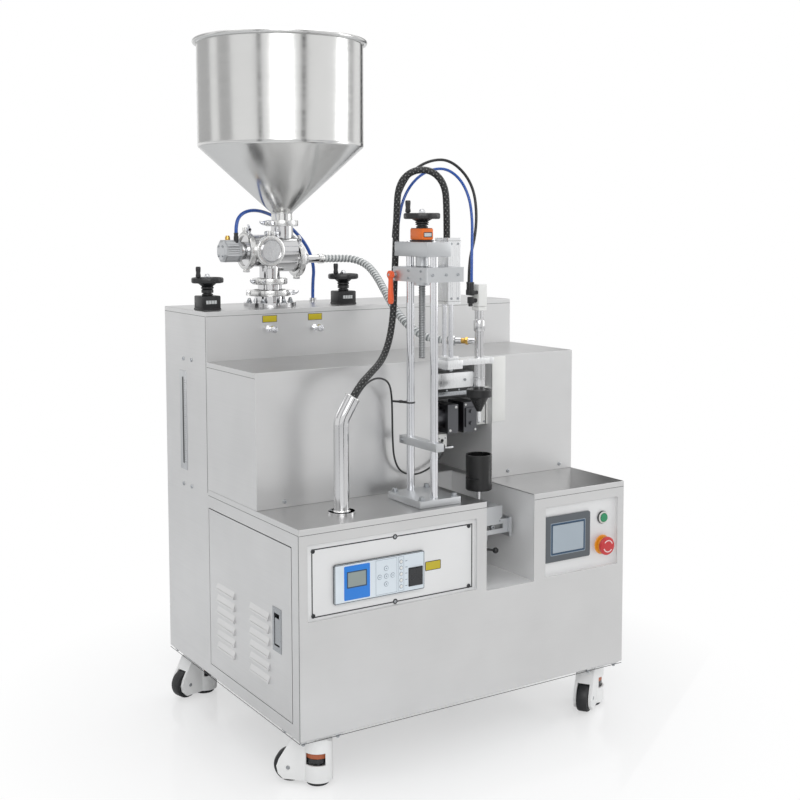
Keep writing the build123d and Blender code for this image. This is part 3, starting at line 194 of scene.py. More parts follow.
tens = [math.radians(10 * step) for step in range(36)]
flat_piece("floor", [(FLOOR_R * math.cos(a), FLOOR_R * math.sin(a), 0) for a in tens], floor_paint, False)
card_felt = plain_material("card_felt", "BsdfDiffuse", "#1c1c1d")
card_paper = plain_material("card_paper", "Emission", "#c4c4c4")
mat_paper = plain_material("mat_paper", "Emission", "#f0f0f0")
# Turn from the camera's own direction, distance, width, height of the lower edge, and the cover.
CARDS = ((-27, 3.4, 0.30, 0, card_felt), (34, 3.5, 0.42, 0, card_felt), (-78, 3.4, 1.3, 1.45, card_paper),
    (-125, 3.4, 2.6, 1.45, card_paper), (116, 3.4, 1.3, 1.45, card_paper), (158, 3.6, 0.9, 0, card_felt))
for turn, reach, width, bottom, cover in CARDS:
    a = math.radians(turn + CAMERA_TURN)
    out, side = Vector((math.cos(a), math.sin(a), 0)), Vector((-math.sin(a), math.cos(a), 0))
    low = [out * reach - side * width / 2, out * reach + side * width / 2]
    edges = zip(low + low[::-1], (bottom, bottom, CARD_TOP, CARD_TOP))
    flat_piece(f"card_{turn + 200}", [place + Vector((0, 0, height)) for place, height in edges], cover)
# How far each corner of the mat lies ahead of the machine, and to its side.
MAT = ((0.62, -0.9), (3.4, -1.4), (3.4, 1.4), (0.62, 0.9))
ahead, aside, above = Vector((0.53, -0.85, 0)), Vector((0.85, 0.53, 0)), Vector((0, 0, 0.002))
flat_piece("mat", [ahead * out + aside * half + above for out, half in MAT], mat_paper)
softbox("key", (-1.6, -3.0, 2.5), (1.6, 2.2), 36)
softbox("fill", (3.2, -1.3, 1.8), (1.2, 2.4), 22)
softbox("top", (0.2, 0.4, 3.4), (2.4, 2.0), 30)
print("cards:", len(CARDS))

# %% [markdown]
# Almost everything here is metal. Sheet steel is brushed with a belt: fine parallel scratches that
# smear a reflection across them. Tubes and the hopper are polished until they mirror the room.
# Jaws and brackets are milled and left with a satin face. One function makes these metals, each
# with its own colour, roughness and scratch size, because only those numbers differ.

# %% Metals


def shades(chart, spread, lift=0.0):
    """The chart's colour a little darker, and a little lighter."""
    dark = [c * (1 - spread) for c in linear(chart)[:3]] + [1.0]
    light = [min(1.0, c * (1 + spread) + lift) for c in linear(chart)[:3]] + [1.0]
    return dark, light


def mixed(tree, factor, dark, light):
    return add(tree, "Mix", {"data_type": "RGBA", 6: dark, 7: light}, {0: factor}).outputs[2]


def uneven(tree, noise, low, high):
    """A roughness that wanders with a noise between two values."""
    return add(tree, "MapRange", {"From Min": 0.3, "From Max": 0.7, "To Min": low, "To Max": high},
        {"Value": noise})


def metal(name, chart, roughness, grain, bump, clouds=0.06, metallic=1.0, top_shade=0.0):
    """grain is the size of the pattern along X, Y and Z in millimetres. top_shade darkens faces that look
    up: painted shade.
    """
    material, tree = empty_material(name)
    place = add(tree, "TexCoord").outputs["Object"]
    scale = add(tree, "Mapping", {"Scale": [1000 / size for size in grain]}, {"Vector": place})
    scratch = add(tree, "TexNoise", {"Scale": 1.0, "Detail": 3.0, "Roughness": 0.6}, {"Vector": scale})
    cloud = add(tree, "TexNoise", {"Scale": 9.0, "Detail": 2.0}, {"Vector": place})
    rough = uneven(tree, scratch, roughness * 0.82, roughness * 1.2)
    colour = mixed(tree, cloud, *shades(chart, clouds))
    # Painted shade: faces that look up get a darker copy of the colour, by top_shade.
    if top_shade:
        facing = add(tree, "NewGeometry").outputs["True Normal"]
        top_shade_mask = add(tree, "SeparateXYZ", {}, {"Vector": facing}).outputs["Z"]
        top_shade_mask = add(tree, "MapRange", {"From Min": 0.6, "From Max": 0.95}, {"Value": top_shade_mask})
        colour = add(tree, "Mix", {"data_type": "RGBA", 7: shades(chart, top_shade)[0]},
            {0: top_shade_mask, 6: colour}).outputs[2]
    dent = add(tree, "Bump", {"Strength": bump, "Distance": 0.0004}, {"Height": scratch})
    steel = add(tree, "BsdfPrincipled", {"Metallic": metallic},
        {"Base Color": colour, "Roughness": rough, "Normal": dent})
    add(tree, "OutputMaterial", {}, {"Surface": steel})
    return material


# Belt-brushed 304 sheet: the scratches run horizontally, 1.6 mm apart here because real ones, at 0.1 mm,
# are too fine to show. They draw reflections out into soft upright streaks. On the decks and other
# faces that look up the colour is painted darker, as painted shade.
brushed_stainless = metal("brushed_stainless", "#d6d6d6", 0.34, (260, 260, 1.6), 0.05, top_shade=0.3)
# The same sheet inside the bays and behind, duller because no belt reached it after bending. Its colour
# is painted paler than the outer sheet's and it is made partly diffuse, as painted light in the shaded bays.
mill_stainless_painted_light = metal("mill_stainless_painted_light", "#e6e6e6", 0.45, (40, 40, 3.0), 0.05, 0.06, metallic=0.3)
# Mirror-polished 316 tube: bright, with the faint waviness of hand buffing.
polished_stainless = metal("polished_stainless", "#d0d0d1", 0.09, (60, 60, 45), 0.05, 0.03)
# The same steel spun into a bowl and buffed round its axis, softer than a mirror.
spun_stainless = metal("spun_stainless", "#d4d4d3", 0.2, (500, 500, 9), 0.03, 0.03)
# Cast clamps and turned flanges, glass-bead blasted and then brushed, a satin between the two.
satin_stainless = metal("satin_stainless", "#dededd", 0.24, (2.5, 2.5, 2.5), 0.03, 0.05)
# Cold-rolled screw thread, grey and matt with oil.
rolled_thread = metal("rolled_thread", "#8c8e8f", 0.36, (2, 2, 2), 0.05, 0.10)
# Ground and chromed rods and nuts.
hard_chrome = metal("hard_chrome", "#dcdde0", 0.11, (3, 3, 1.2), 0.02, 0.03)
# Milled and bead-blasted aluminium, anodised clear: a pale satin with a fine even grain.
anodised_aluminium = metal("anodised_aluminium", "#c6c8ca", 0.38, (1.3, 1.3, 1.3), 0.10, 0.05)
# Bright-drawn aluminium of the cylinder and the brackets, nearly white where it faces the lamps.
bright_aluminium = metal("bright_aluminium", "#e4e5e6", 0.30, (1.5, 1.5, 30), 0.02, 0.04)
# Ground tool steel of the jaws, dark between the lamps.
tool_steel = metal("tool_steel", "#626366", 0.36, (12, 2.4, 2.4), 0.015, 0.08)
# Turned brass of the small air fittings, with a warm yellow reflection.
turned_brass = metal("turned_brass", "#cfa75a", 0.26, (1.2, 1.2, 1.2), 0.05, 0.08)
# Zinc-plated screws, bluish and a little dull.
zinc_steel = metal("zinc_steel", "#a8abae", 0.30, (1.5, 1.5, 1.5), 0.08, 0.08)
print("metals made")

# %% [markdown]
# Plastics, rubber and paint are not metal: their colour comes from inside, and a thin clear gloss
# lies over it. Moulded parts carry the fine spark texture of their mould. One function serves them
# all, with the spacing of that texture in millimetres.

# %% Plastics, rubber and paint


def moulded(name, chart, roughness, grain, bump, ior=1.46, spots=0.05, coat=0.0):
    material, tree = empty_material(name)
    place = add(tree, "TexCoord").outputs["Object"]
    spark = add(tree, "TexNoise", {"Scale": 1000 / grain, "Detail": 2.0}, {"Vector": place})
    cloud = add(tree, "TexNoise", {"Scale": 22.0, "Detail": 3.0}, {"Vector": place})
    rough = uneven(tree, cloud, roughness * 0.85, roughness * 1.15)
    colour = mixed(tree, cloud, *shades(chart, spots, 0.002))
    dent = add(tree, "Bump", {"Strength": bump, "Distance": 0.0003}, {"Height": spark})
    plastic = add(tree, "BsdfPrincipled", {"IOR": ior, "Coat Weight": coat},
        {"Base Color": colour, "Roughness": rough, "Normal": dent})
    add(tree, "OutputMaterial", {}, {"Surface": plastic})
    return material


# Glass-filled nylon of the handwheels and counters: near black, with a soft sheen.
black_nylon = moulded("black_nylon", "#17181a", 0.36, 1.6, 0.20, 1.53)
# Hard-anodised cup, matt black and a little grey where it faces the light.
black_anodised = moulded("black_anodised", "#111112", 0.30, 1.0, 0.05, 1.5)
# ABS of the counter's body, a strong warm orange.
orange_abs = moulded("orange_abs", "#f1731a", 0.34, 1.6, 0.12, 1.54)
# Epoxy-coated clamp handle, an orange red.
lever_red = moulded("lever_red", "#f0602e", 0.30, 1.6, 0.08, 1.54)
# Acetal blocks, milk white, with a faint wax-like gloss.
white_acetal = moulded("white_acetal", "#e9e9e6", 0.35, 1.4, 0.08, 1.48)
# Polyester front film, printed from behind, so that its colours lie under a velvet surface.
pale_film = moulded("pale_film", "#dfe8ef", 0.40, 0.9, 0.06, 1.57, 0.02)
blue_film = moulded("blue_film", "#007cdc", 0.36, 0.9, 0.06, 1.57, 0.04)
# Printing inks and the tags' enamel, thin and dry.
line_ink = moulded("line_ink", "#1e2023", 0.45, 0.9, 0.04, 1.50)
key_ink = moulded("key_ink", "#8d99a4", 0.40, 0.9, 0.04, 1.50)
arrow_white = moulded("arrow_white", "#f0d4d4", 0.40, 1.0, 0.04, 1.50)
yellow_tag = moulded("yellow_tag", "#c6b31a", 0.42, 0.9, 0.06, 1.50, 0.06)
# Liquid crystal behind its window, the colour of dull silver when it shows nothing.
crystal_grey = moulded("crystal_grey", "#8f9a96", 0.18, 1.2, 0.02, 1.50, 0.04, 0.6)
# Glass over a screen that is off, which mirrors the room.
screen_glass = moulded("screen_glass", "#a4b0ba", 0.14, 4.0, 0.01, 1.52, 0.03, 0.8)
# Moulded frames and switch bodies, grey and black with a fine spark.
screen_bezel = moulded("screen_bezel", "#565b60", 0.38, 1.3, 0.10, 1.53)
switch_black = moulded("switch_black", "#25272a", 0.30, 1.6, 0.10, 1.53)
# Dark gap round a display, and the drums of a counter behind their window.
lcd_frame = moulded("lcd_frame", "#2c4a66", 0.40, 0.9, 0.03, 1.50)
counter_drum = moulded("counter_drum", "#cdd0d0", 0.20, 1.2, 0.02, 1.50, 0.04, 0.5)
# Soot and shadow in a closed seam between two sheets, and painted shade on the base's front left fold,
# where no seam is.
seam_shadow = moulded("seam_shadow", "#4a4b4c", 0.60, 1.0, 0.05, 1.50)
# Button caps: a clear green lens, a glossy red mushroom and its yellow collar.
green_lens = moulded("green_lens", "#0a8a58", 0.22, 3.0, 0.03, 1.49, 0.05, 0.5)
stop_red = moulded("stop_red", "#c8161c", 0.26, 2.2, 0.05, 1.54, 0.04, 0.4)
collar_yellow = moulded("collar_yellow", "#ec9a1c", 0.32, 1.8, 0.06, 1.54)
# Polyurethane air tube, dyed through, with a wet gloss.
blue_tube = moulded("blue_tube", "#1450a8", 0.24, 3.0, 0.03, 1.50, 0.05, 0.3)
black_tube = moulded("black_tube", "#191a1c", 0.30, 3.0, 0.04, 1.50)
# Nylon cable ties.
tie_black = moulded("tie_black", "#141516", 0.38, 2.0, 0.05, 1.53)
# Rubber pads and tyres: dark, dry, and dusty in their grain.
pad_rubber = moulded("pad_rubber", "#26272a", 0.68, 1.0, 0.35, 1.52, 0.12)
tyre_black = moulded("tyre_black", "#1b1c1e", 0.50, 1.2, 0.25, 1.52, 0.10)
# Pale nylon ring of the button and the orange levelling ring.
pale_nylon = moulded("pale_nylon", "#d9d9d4", 0.40, 1.4, 0.10, 1.53)
ring_orange = moulded("ring_orange", "#b4603a", 0.38, 1.4, 0.12, 1.54, 0.08)
# Powder coat of the castor housing, a fine orange peel.
castor_coat = moulded("castor_coat", "#f6f6f5", 0.42, 1.8, 0.22, 1.50)
print("plastics made")

# %% [markdown]
# The cable bundle wears a braided sleeve: black threads with a light tracer crossing it. Its
# pattern follows the sleeve, so it is drawn in the tube's own coordinates, round and along, where
# two families of slanting stripes make the diamonds.

# %% Braided sleeve
DIAMOND = 7.0
sleeve_braid, tree = empty_material("sleeve_braid")
place = add(tree, "TexCoord").outputs["UV"]
waves = []
for angle in (38, -38):
    tilt = add(tree, "Mapping", {"Rotation": (0, 0, math.radians(angle)), "Scale": [1000 / DIAMOND] * 3},
        {"Vector": place})
    waves.append(add(tree, "TexWave", {"Scale": 0.32, "Distortion": 0.0}, {"Vector": tilt}).outputs["Fac"])
thread_light = add(tree, "Math", {"operation": "MULTIPLY"}, {0: waves[0], 1: waves[1]})
speck = add(tree, "MapRange", {"From Min": 0.62, "From Max": 0.95}, {"Value": thread_light})
colour = mixed(tree, speck, linear("#121314"), linear("#8c8c8a"))
dent = add(tree, "Bump", {"Strength": 0.6, "Distance": 0.0006}, {"Height": thread_light})
sleeve = add(tree, "BsdfPrincipled", {"Roughness": 0.48, "IOR": 1.5},
    {"Base Color": colour, "Normal": dent})
add(tree, "OutputMaterial", {}, {"Surface": sleeve})
print("threads 0.4 mm wide, drawn", DIAMOND, "mm wide so that the diamonds still show")

# %% [markdown]
# The product hose is clear PVC with a hard white spiral wound into its wall. The spiral is drawn
# twice: as ribs in the mesh, and as bands of colour that slant by the same angle, so that both run
# round together. Its turns lie 6 mm apart on the real hose and 9 mm here, so that they still show.

# %% Spiral hose
HOSE_R, HOSE_PITCH, RIB = 0.009, 0.009, 0.0007
# A wave repeats each pi / 10 units, so this scale gives one band to a turn of the spiral.
slant = math.atan(HOSE_PITCH / (2 * math.pi * HOSE_R))
band_scale = math.pi / 10 / HOSE_PITCH / math.cos(slant)
hose_wall, tree = empty_material("hose_wall")
place = add(tree, "TexCoord").outputs["UV"]
tilt = add(tree, "Mapping", {"Rotation": (0, 0, slant)}, {"Vector": place})
bands = add(tree, "TexWave", {"bands_direction": "Y", "Scale": band_scale, "Distortion": 0.0},
    {"Vector": tilt})
colour = mixed(tree, bands.outputs["Fac"], linear("#7b8182"), linear("#eceeed"))
wall = add(tree, "BsdfPrincipled", {"Roughness": 0.22, "IOR": 1.53, "Coat Weight": 0.4},
    {"Base Color": colour})
add(tree, "OutputMaterial", {}, {"Surface": wall})
print("hose bands", round(HOSE_PITCH * 1000, 1), "mm apart")

# %% [markdown]
# Every detailed piece is built from a few kinds of solid, as a workshop would: blocks with
# broken edges, turned parts, plates cut to an outline, and bars. A `Piece` collects such solids in
# workshop millimetres and becomes one object, which rides on the body that carries it.

# %% A piece in the making
BODY_OF = {node: body for body, held in frame["record"]["behaviour"]["bodies"].items() for node in held}


def arc(u, v, r, start, end, steps):
    """Points of a round corner, angles in degrees."""
    turn = [math.radians(start + (end - start) * i / steps) for i in range(steps + 1)]
    return [(u + r * math.cos(a), v + r * math.sin(a)) for a in turn]


def corners(u0, u1, v0, v1, r):
    """Outline of a rectangle with round corners."""
    return (arc(u1 - r, v1 - r, r, 0, 90, 5) + arc(u0 + r, v1 - r, r, 90, 180, 5)
            + arc(u0 + r, v0 + r, r, 180, 270, 5) + arc(u1 - r, v0 + r, r, 270, 360, 5))


def disc(r, low, high):
    """Profile of a plain disc."""
    return [(0, low), (r, low), (r, high), (0, high)]


def six_sided(rows):
    """Makes hexagons of some rows of a turned profile."""
    six = math.pi / 3
    return lambda row, a: 0.87 / math.cos(a % six - six / 2) if row in rows else 1


class Piece:
    def __init__(self):
        self.mesh = bmesh.new()

    def take(self, other):
        """Adds a mesh to this one."""
        carrier = bpy.data.meshes.new("carrier")
        other.to_mesh(carrier)
        other.free()
        self.mesh.from_mesh(carrier)
        bpy.data.meshes.remove(carrier)

    def join(self, part, paint):
        """Adds a closed solid with the number of its material."""
        bmesh.ops.recalc_face_normals(part, faces=part.faces)
        for face in part.faces:
            face.material_index = paint
        self.take(part)

    def place(self, other, matrix):
        """Sets another piece down in this one."""
        bmesh.ops.transform(other.mesh, matrix=matrix, verts=other.mesh.verts)
        self.take(other.mesh)

    def block(self, x0, x1, y0, y1, z0, z1, edge=0.8, paint=0):
        part = bmesh.new()
        bmesh.ops.create_cube(part, size=1.0)
        bmesh.ops.scale(part, vec=(x1 - x0, y1 - y0, z1 - z0), verts=part.verts)
        if edge:
            bmesh.ops.bevel(part, geom=part.edges[:], offset=edge, segments=2, profile=0.5, affect="EDGES")
        bmesh.ops.translate(part, vec=((x0 + x1) / 2, (y0 + y1) / 2, (z0 + z1) / 2), verts=part.verts)
        self.join(part, paint)

    def blocks(self, *rows):
        """Rows hold the extent in X, Y and Z, the width of the broken edge and the paint."""
        for row in rows:
            self.block(*row)

    def turned(self, profile, centre=(0, 0, 0), aim=UP, paint=0, steps=40, shape=None, loop=False):
        """profile is (radius, height) along aim. shape(row, angle) scales a radius."""
        part = bmesh.new()
        rows = []
        for row, (radius, height) in enumerate(profile):
            if radius == 0:
                rows.append([part.verts.new((0, 0, height))])
                continue
            ring = []
            for step in range(steps):
                a = 2 * math.pi * step / steps
                r = radius * (shape(row, a) if shape else 1)
                ring.append(part.verts.new((r * math.cos(a), r * math.sin(a), height)))
            rows.append(ring)
        for low, high in zip(rows, rows[1:] + ([rows[0]] if loop else [])):
            for i in range(steps):
                j = (i + 1) % steps
                corners = [low[i % len(low)], low[j % len(low)], high[j % len(high)], high[i % len(high)]]
                part.faces.new(list(dict.fromkeys(corners)))
        spin = Vector(UP).rotation_difference(Vector(aim)).to_matrix()
        bmesh.ops.transform(part, matrix=spin.to_4x4(), verts=part.verts)
        bmesh.ops.translate(part, vec=centre, verts=part.verts)
        self.join(part, paint)

    def bar(self, a, b, r, paint=0, tip=0.5, steps=24):
        run = Vector(b) - Vector(a)
        n = run.length
        self.turned([(0, 0), (r - tip, 0), (r, tip), (r, n - tip), (r - tip, n), (0, n)], a, run, paint,
            steps)

    def loft(self, rings, paint=0, lens=None, loop=False):
        """A skin over rings of matching points. lens is the paint of the last ring's face."""
        part = bmesh.new()
        rows = [[part.verts.new(point) for point in ring] for ring in rings]
        for low, high in zip(rows, rows[1:] + ([rows[0]] if loop else [])):
            for i in range(len(low)):
                j = (i + 1) % len(low)
                part.faces.new((low[i], low[j], high[j], high[i]))
        if not loop:
            part.faces.new(rows[0][::-1])
            part.faces.new(rows[-1])
        self.join(part, paint)
        if lens is not None:
            self.mesh.faces.ensure_lookup_table()
            self.mesh.faces[-1].material_index = lens

    def panel(self, x0, x1, z0, z1, rows, r, paint=0, lens=None):
        """A front panel. rows are how far each ring lies inside the edge, and its depth in Y."""
        rings = []
        for inset, y in rows:
            outline = corners(x0 + inset, x1 - inset, z0 + inset, z1 - inset, max(r - inset, 0.3))
            rings.append([(u, y, v) for u, v in outline])
        self.loft(rings, paint, lens)

    def plate(self, outline, low, high, paint, edge):
        """A flat piece that lies across Y, cut to an outline in X and Z."""
        part = bmesh.new()
        face = part.faces.new([part.verts.new((u, low, v)) for u, v in outline])
        solid = bmesh.ops.extrude_face_region(part, geom=[face])
        top = [g for g in solid["geom"] if isinstance(g, bmesh.types.BMVert)]
        bmesh.ops.translate(part, vec=(0, high - low, 0), verts=top)
        part.normal_update()
        sharp = [e for e in part.edges if e.calc_face_angle(0) > 1.2]
        bmesh.ops.bevel(part, geom=sharp, offset=edge, segments=2, profile=0.5, affect="EDGES")
        self.join(part, paint)

    def screws(self, centres, aim, r, h, paint=0):
        """Cap screws with a six-sided socket, standing on a surface."""
        for centre in centres:
            self.turned([(0, h * 0.4), (0.5 * r, h * 0.4), (0.5 * r, h), (0.88 * r, h), (r, h - 0.12 * r),
                (r, 0), (0, 0)], centre, aim, paint, 24, six_sided((1, 2)))

    def nut(self, centre, aim, r, h, paint=0, dome=0.0):
        rows = [(0, 0), (r * 0.94, 0), (r, h * 0.1), (r, h * 0.9), (r * 0.9, h)]
        if dome:
            rows += [(r * 0.72, h), (r * 0.66, h + dome * 0.45), (r * 0.45, h + dome * 0.85), (0, h + dome)]
        else:
            rows += [(r * 0.45, h), (r * 0.42, h - 0.5), (0, h - 0.5)]
        self.turned(rows, centre, aim, paint, 36, six_sided(range(5)))

    def done(self, materials, node, extra=None, ending="_dressed"):
        """Makes the object, which rides with the CAD node and stands for it. An extra has a name of its
        own, and sits on the node instead."""
        name = extra or node + ending
        for vert in self.mesh.verts:
            vert.co = at(*vert.co)
        for face in self.mesh.faces:
            face.smooth = True
        shape = bpy.data.meshes.new(name)
        self.mesh.to_mesh(shape)
        self.mesh.free()
        shape.set_sharp_from_angle(angle=math.radians(32))
        for material in materials:
            shape.materials.append(material)
        piece = linked(name, shape)
        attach(piece, BODY_OF[node])
        if not extra:
            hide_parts(node)
        print(name, "faces", len(shape.polygons))


print("tools ready")

# %% [markdown]
# A hose, tube or cable takes one smooth line through the air. Each is a NURBS spline, whose control
# points pull it along without its touching them. Thin tubes are that spline with a round section.
# Where a piece has ribs or a braid, or hangs between two moving parts, it is a mesh, and its
# rings follow points that Blender reads from the spline.

# %% Smooth lines


def spline_of(name, route):
    curve = bpy.data.curves.new(name, "CURVE")
    curve.dimensions = "3D"
    curve.resolution_u = 12
    spline = curve.splines.new("NURBS")
    spline.points.add(len(route) - 1)
    for point, place in zip(spline.points, route):
        point.co = [*at(*place), 1.0]
    spline.order_u = 3
    spline.use_endpoint_u = True
    return curve


def line_of(name, route):
    """Points along the spline, as Blender evaluates it."""
    curve = spline_of(name, route)
    carrier = bpy.data.objects.new(name, curve)
    mesh = bpy.data.meshes.new_from_object(carrier)
    points = [v.co.copy() for v in mesh.vertices]
    bpy.data.objects.remove(carrier)
    bpy.data.curves.remove(curve)
    bpy.data.meshes.remove(mesh)
    return points


def length_of(points):
    return sum((b - a).length for a, b in zip(points, points[1:]))


def spaced(points, step):
    """The same line with its points an even step apart."""
    total = length_of(points)
    count = max(2, round(total / step))
    out, travelled, i = [points[0]], 0.0, 0
    for n in range(1, count):
        goal = total * n / count
        while travelled + (points[i + 1] - points[i]).length < goal:
            travelled += (points[i + 1] - points[i]).length
            i += 1
        out.append(points[i].lerp(points[i + 1], (goal - travelled) / (points[i + 1] - points[i]).length))
    return out + [points[-1]]


def tube_mesh(name, points, radius, material, sides=16, rib=None):
    """A tube round the points. rib(distance, angle) adds to its radius, in metres."""
    tangents = [(b - a).normalized() for a, b in zip([points[0]] + points, points[1:] + [points[-1]])]
    tangents = tangents[:len(points)]
    normal = tangents[0].orthogonal().normalized()
    verts, faces, places = [], [], []
    gone = 0.0
    for i, (point, tangent) in enumerate(zip(points, tangents)):
        if i:
            normal = tangents[i - 1].rotation_difference(tangent) @ normal
            gone += (point - points[i - 1]).length
        side = tangent.cross(normal)
        for s in range(sides):
            a = 2 * math.pi * s / sides
            r = radius + (rib(gone, a) if rib else 0)
            verts.append(point + normal * (r * math.cos(a)) + side * (r * math.sin(a)))
        places.append(gone)
    for i in range(len(points) - 1):
        for s in range(sides):
            t = (s + 1) % sides
            faces.append((i * sides + s, i * sides + t, (i + 1) * sides + t, (i + 1) * sides + s))
    faces += [tuple(range(sides))[::-1], tuple(range((len(points) - 1) * sides, len(points) * sides))]
    mesh = bpy.data.meshes.new(name)
    mesh.from_pydata(verts, [], faces)
    around = mesh.uv_layers.new(name="UVMap").data
    for face in mesh.polygons:
        face.use_smooth = True
        first = [mesh.loops[k].vertex_index % sides for k in face.loop_indices]
        for k, s in zip(face.loop_indices, first):
            turn = sides if s == 0 and max(first) == sides - 1 else s
            row = mesh.loops[k].vertex_index // sides
            around[k].uv = (2 * math.pi * radius * turn / sides, places[row])
    mesh.set_sharp_from_angle(angle=math.radians(50))
    mesh.materials.append(material)
    return linked(name, mesh)


print("lines ready")

# %% [markdown]
# The machine's hoses and cables each leave one fitting and go into another, so their length is
# what the picture shows. Two of them hang between parts that move: the bundle rises from the deck
# to the carriage, and the product hose goes on from the carriage to the nozzle. Each of these is
# two cords that meet halfway, because a bend can follow only one joint. A cord between two moving
# parts is left where it lies, and a cord on one part rides with it.

# %% Routes, in workshop millimetres
BUNDLE = [(150, 71, 722), (176, 78, 754), (216, 102, 773), (262, 133, 792), (293, 154, 828),
    (306, 159, 880), (308, 158, 945), (309, 154, 1015), (310, 152, 1085), (313, 150, 1148),
    (336, 135, 1177), (370, 113, 1178), (393, 98, 1148), (395, 95, 1096), (395, 95, 1040)]
BLACK_TUBE = [(313, 170, 1040), (317, 170, 1090), (332, 170, 1140), (362, 169, 1180), (402, 167, 1200),
    (445, 164, 1203), (482, 158, 1178), (501, 148, 1140), (503, 140, 1090), (493, 132, 1040),
    (470, 122, 990), (470, 122, 945)]
BLUE_TUBE = [(324, 173, 1040), (329, 173, 1085), (344, 173, 1130), (372, 172, 1164), (408, 170, 1182),
    (444, 166, 1184), (474, 158, 1162), (488, 146, 1124), (487, 134, 1078), (478, 122, 1034),
    (467, 108, 988), (467, 108, 945)]
HOSE = [(331, 524, 988), (384, 524, 988), (415, 506, 987), (433, 475, 974), (432, 430, 948),
        (421, 370, 909), (411, 305, 868), (414, 245, 836), (430, 196, 821), (460, 156, 821)]
VALVE_TUBE = [(120, 514, 1048), (120, 514, 1072), (137, 521, 1092), (172, 540, 1100), (215, 566, 1096),
    (262, 584, 1080), (308, 594, 1052), (346, 600, 1012), (363, 603, 966), (358, 602, 926),
    (358, 602, 893)]
SENSOR_CABLE = [(151, 60, 721), (170, 58, 753), (204, 72, 767), (244, 98, 762), (277, 127, 745),
    (297, 151, 713), (303, 159, 672), (304, 160, 628), (307, 160, 584), (322, 161, 554), (358, 163, 541),
    (398, 164, 550), (430, 165, 574), (446, 171, 598), (446, 196, 598)]
# Spacing of the rings, in metres: close where a hose has ribs or a braid, wide on a plain tube.
FINE_STEP, PLAIN_STEP = 0.0016, 0.004


def halves(name, route, near):
    """The route's line, cut where it passes nearest a place."""
    points = spaced(line_of(name, route), FINE_STEP)
    cut = min(range(len(points)), key=lambda i: (points[i] - at(*near)).length)
    return points[:cut + 1], points[cut:]


def mesh_cord(name, points, radius, material, node, moves, rib=None, sides=16):
    """A tube that stands for a CAD cord. One between two bodies is left where it lies, and one on a single
    body rides on it.
    """
    piece = tube_mesh(name, points, radius, material, sides, rib)
    if len(moves) == 2:
        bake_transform(piece)
    else:
        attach(piece, moves[0])
    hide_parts(node)
    print(name, "length", round(length_of(points) * 1000), "mm")


def spiral(gone, a):
    """Ribs of a spiral hose."""
    return RIB * math.cos(2 * math.pi * gone / HOSE_PITCH + a) - RIB


rising, falling = halves("bundle_line", BUNDLE, (313, 150, 1148))
mesh_cord("cable_bundle_rising", rising, 0.007, sleeve_braid, "cable_bundle",
    ("machine", "carriage"))
mesh_cord("cable_bundle_falling", falling, 0.007, sleeve_braid, "cable_bundle",
    ("carriage",))
rear, front = halves("hose_line", HOSE, (412, 275, 850))
mesh_cord("product_hose_rear", rear, HOSE_R, hose_wall, "product_hose",
    ("machine", "carriage"), spiral, 20)
mesh_cord("product_hose_front", front, HOSE_R, hose_wall, "product_hose",
    ("carriage", "yoke"), spiral, 20)
for name, route, material, slot in (("nozzle_tube_black", BLACK_TUBE, black_tube, "hose_black"),
        ("nozzle_tube_blue", BLUE_TUBE, blue_tube, "tube_blue")):
    mesh_cord(name, spaced(line_of(name, route), PLAIN_STEP), 0.003, material, "nozzle_tubes",
        ("carriage", "yoke"), None, 12)
for name, route, radius, material, slot, node in (
        ("valve_tube_blue", VALVE_TUBE, 0.004, blue_tube, "tube_blue", "valve_tube"),
        ("sensor_cable_black", SENSOR_CABLE, 0.002, black_tube, "hose_black", "sensor_cable")):
    curve = spline_of(name, route)
    curve.bevel_depth = radius
    curve.bevel_resolution = 4
    curve.use_fill_caps = True
    curve.materials.append(material)
    piece = linked(name, curve)
    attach(piece, "machine")
    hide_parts(node)
    length_of(line_of(name + "_line", route))

# %% [markdown]
# The hopper is a bowl rolled from 1.5 mm sheet, a cone welded under it and a wire rolled into its
# rim. It could be drawn as flat sheet and bent by modifiers, but it was spun and rolled about one
# axis, so it is turned here about that axis too, with a small round where the cone meets the bowl.

# %% Hopper
HOPPER = (238, 524, 0)
hopper = Piece()
wall = [(31.5, 1070), (31.5, 1072.5), (31, 1073), (24.6, 1073.2), (23.5, 1074.6), (23.5, 1090.6)]
wall += arc(29.5, 1090.6, 6, 180, 132, 4) + arc(180, 1242.7, 6, -48, 0, 6)
wall += [(186, 1244.6), (186.25, 1245.2), (186.25, 1246.8), (186, 1247.4), (186, 1467), (184.5, 1467)]
wall += [(184.5, 1242.5), (183.2, 1239.8), (22, 1095), (22, 1070)]
for profile in (wall, arc(190.25, 1471, 5, 0, 345, 23)):
    hopper.turned(profile, HOPPER, steps=160, loop=True)
hopper.done([spun_stainless], "hopper", ending="_spun")

# %% [markdown]
# Three handwheels set the machine: one on the column and two on the rear deck. Each is moulded
# nylon with a wavy rim for the fingers, a ribbed hub, a cap nut of chromed steel and a turned grip.
# The wavy rim is a turned profile whose radius changes with the angle. A screw thread is drawn the
# same way: a rod whose radius swings once a turn, a quarter turn later with each row.

# %% Handwheels


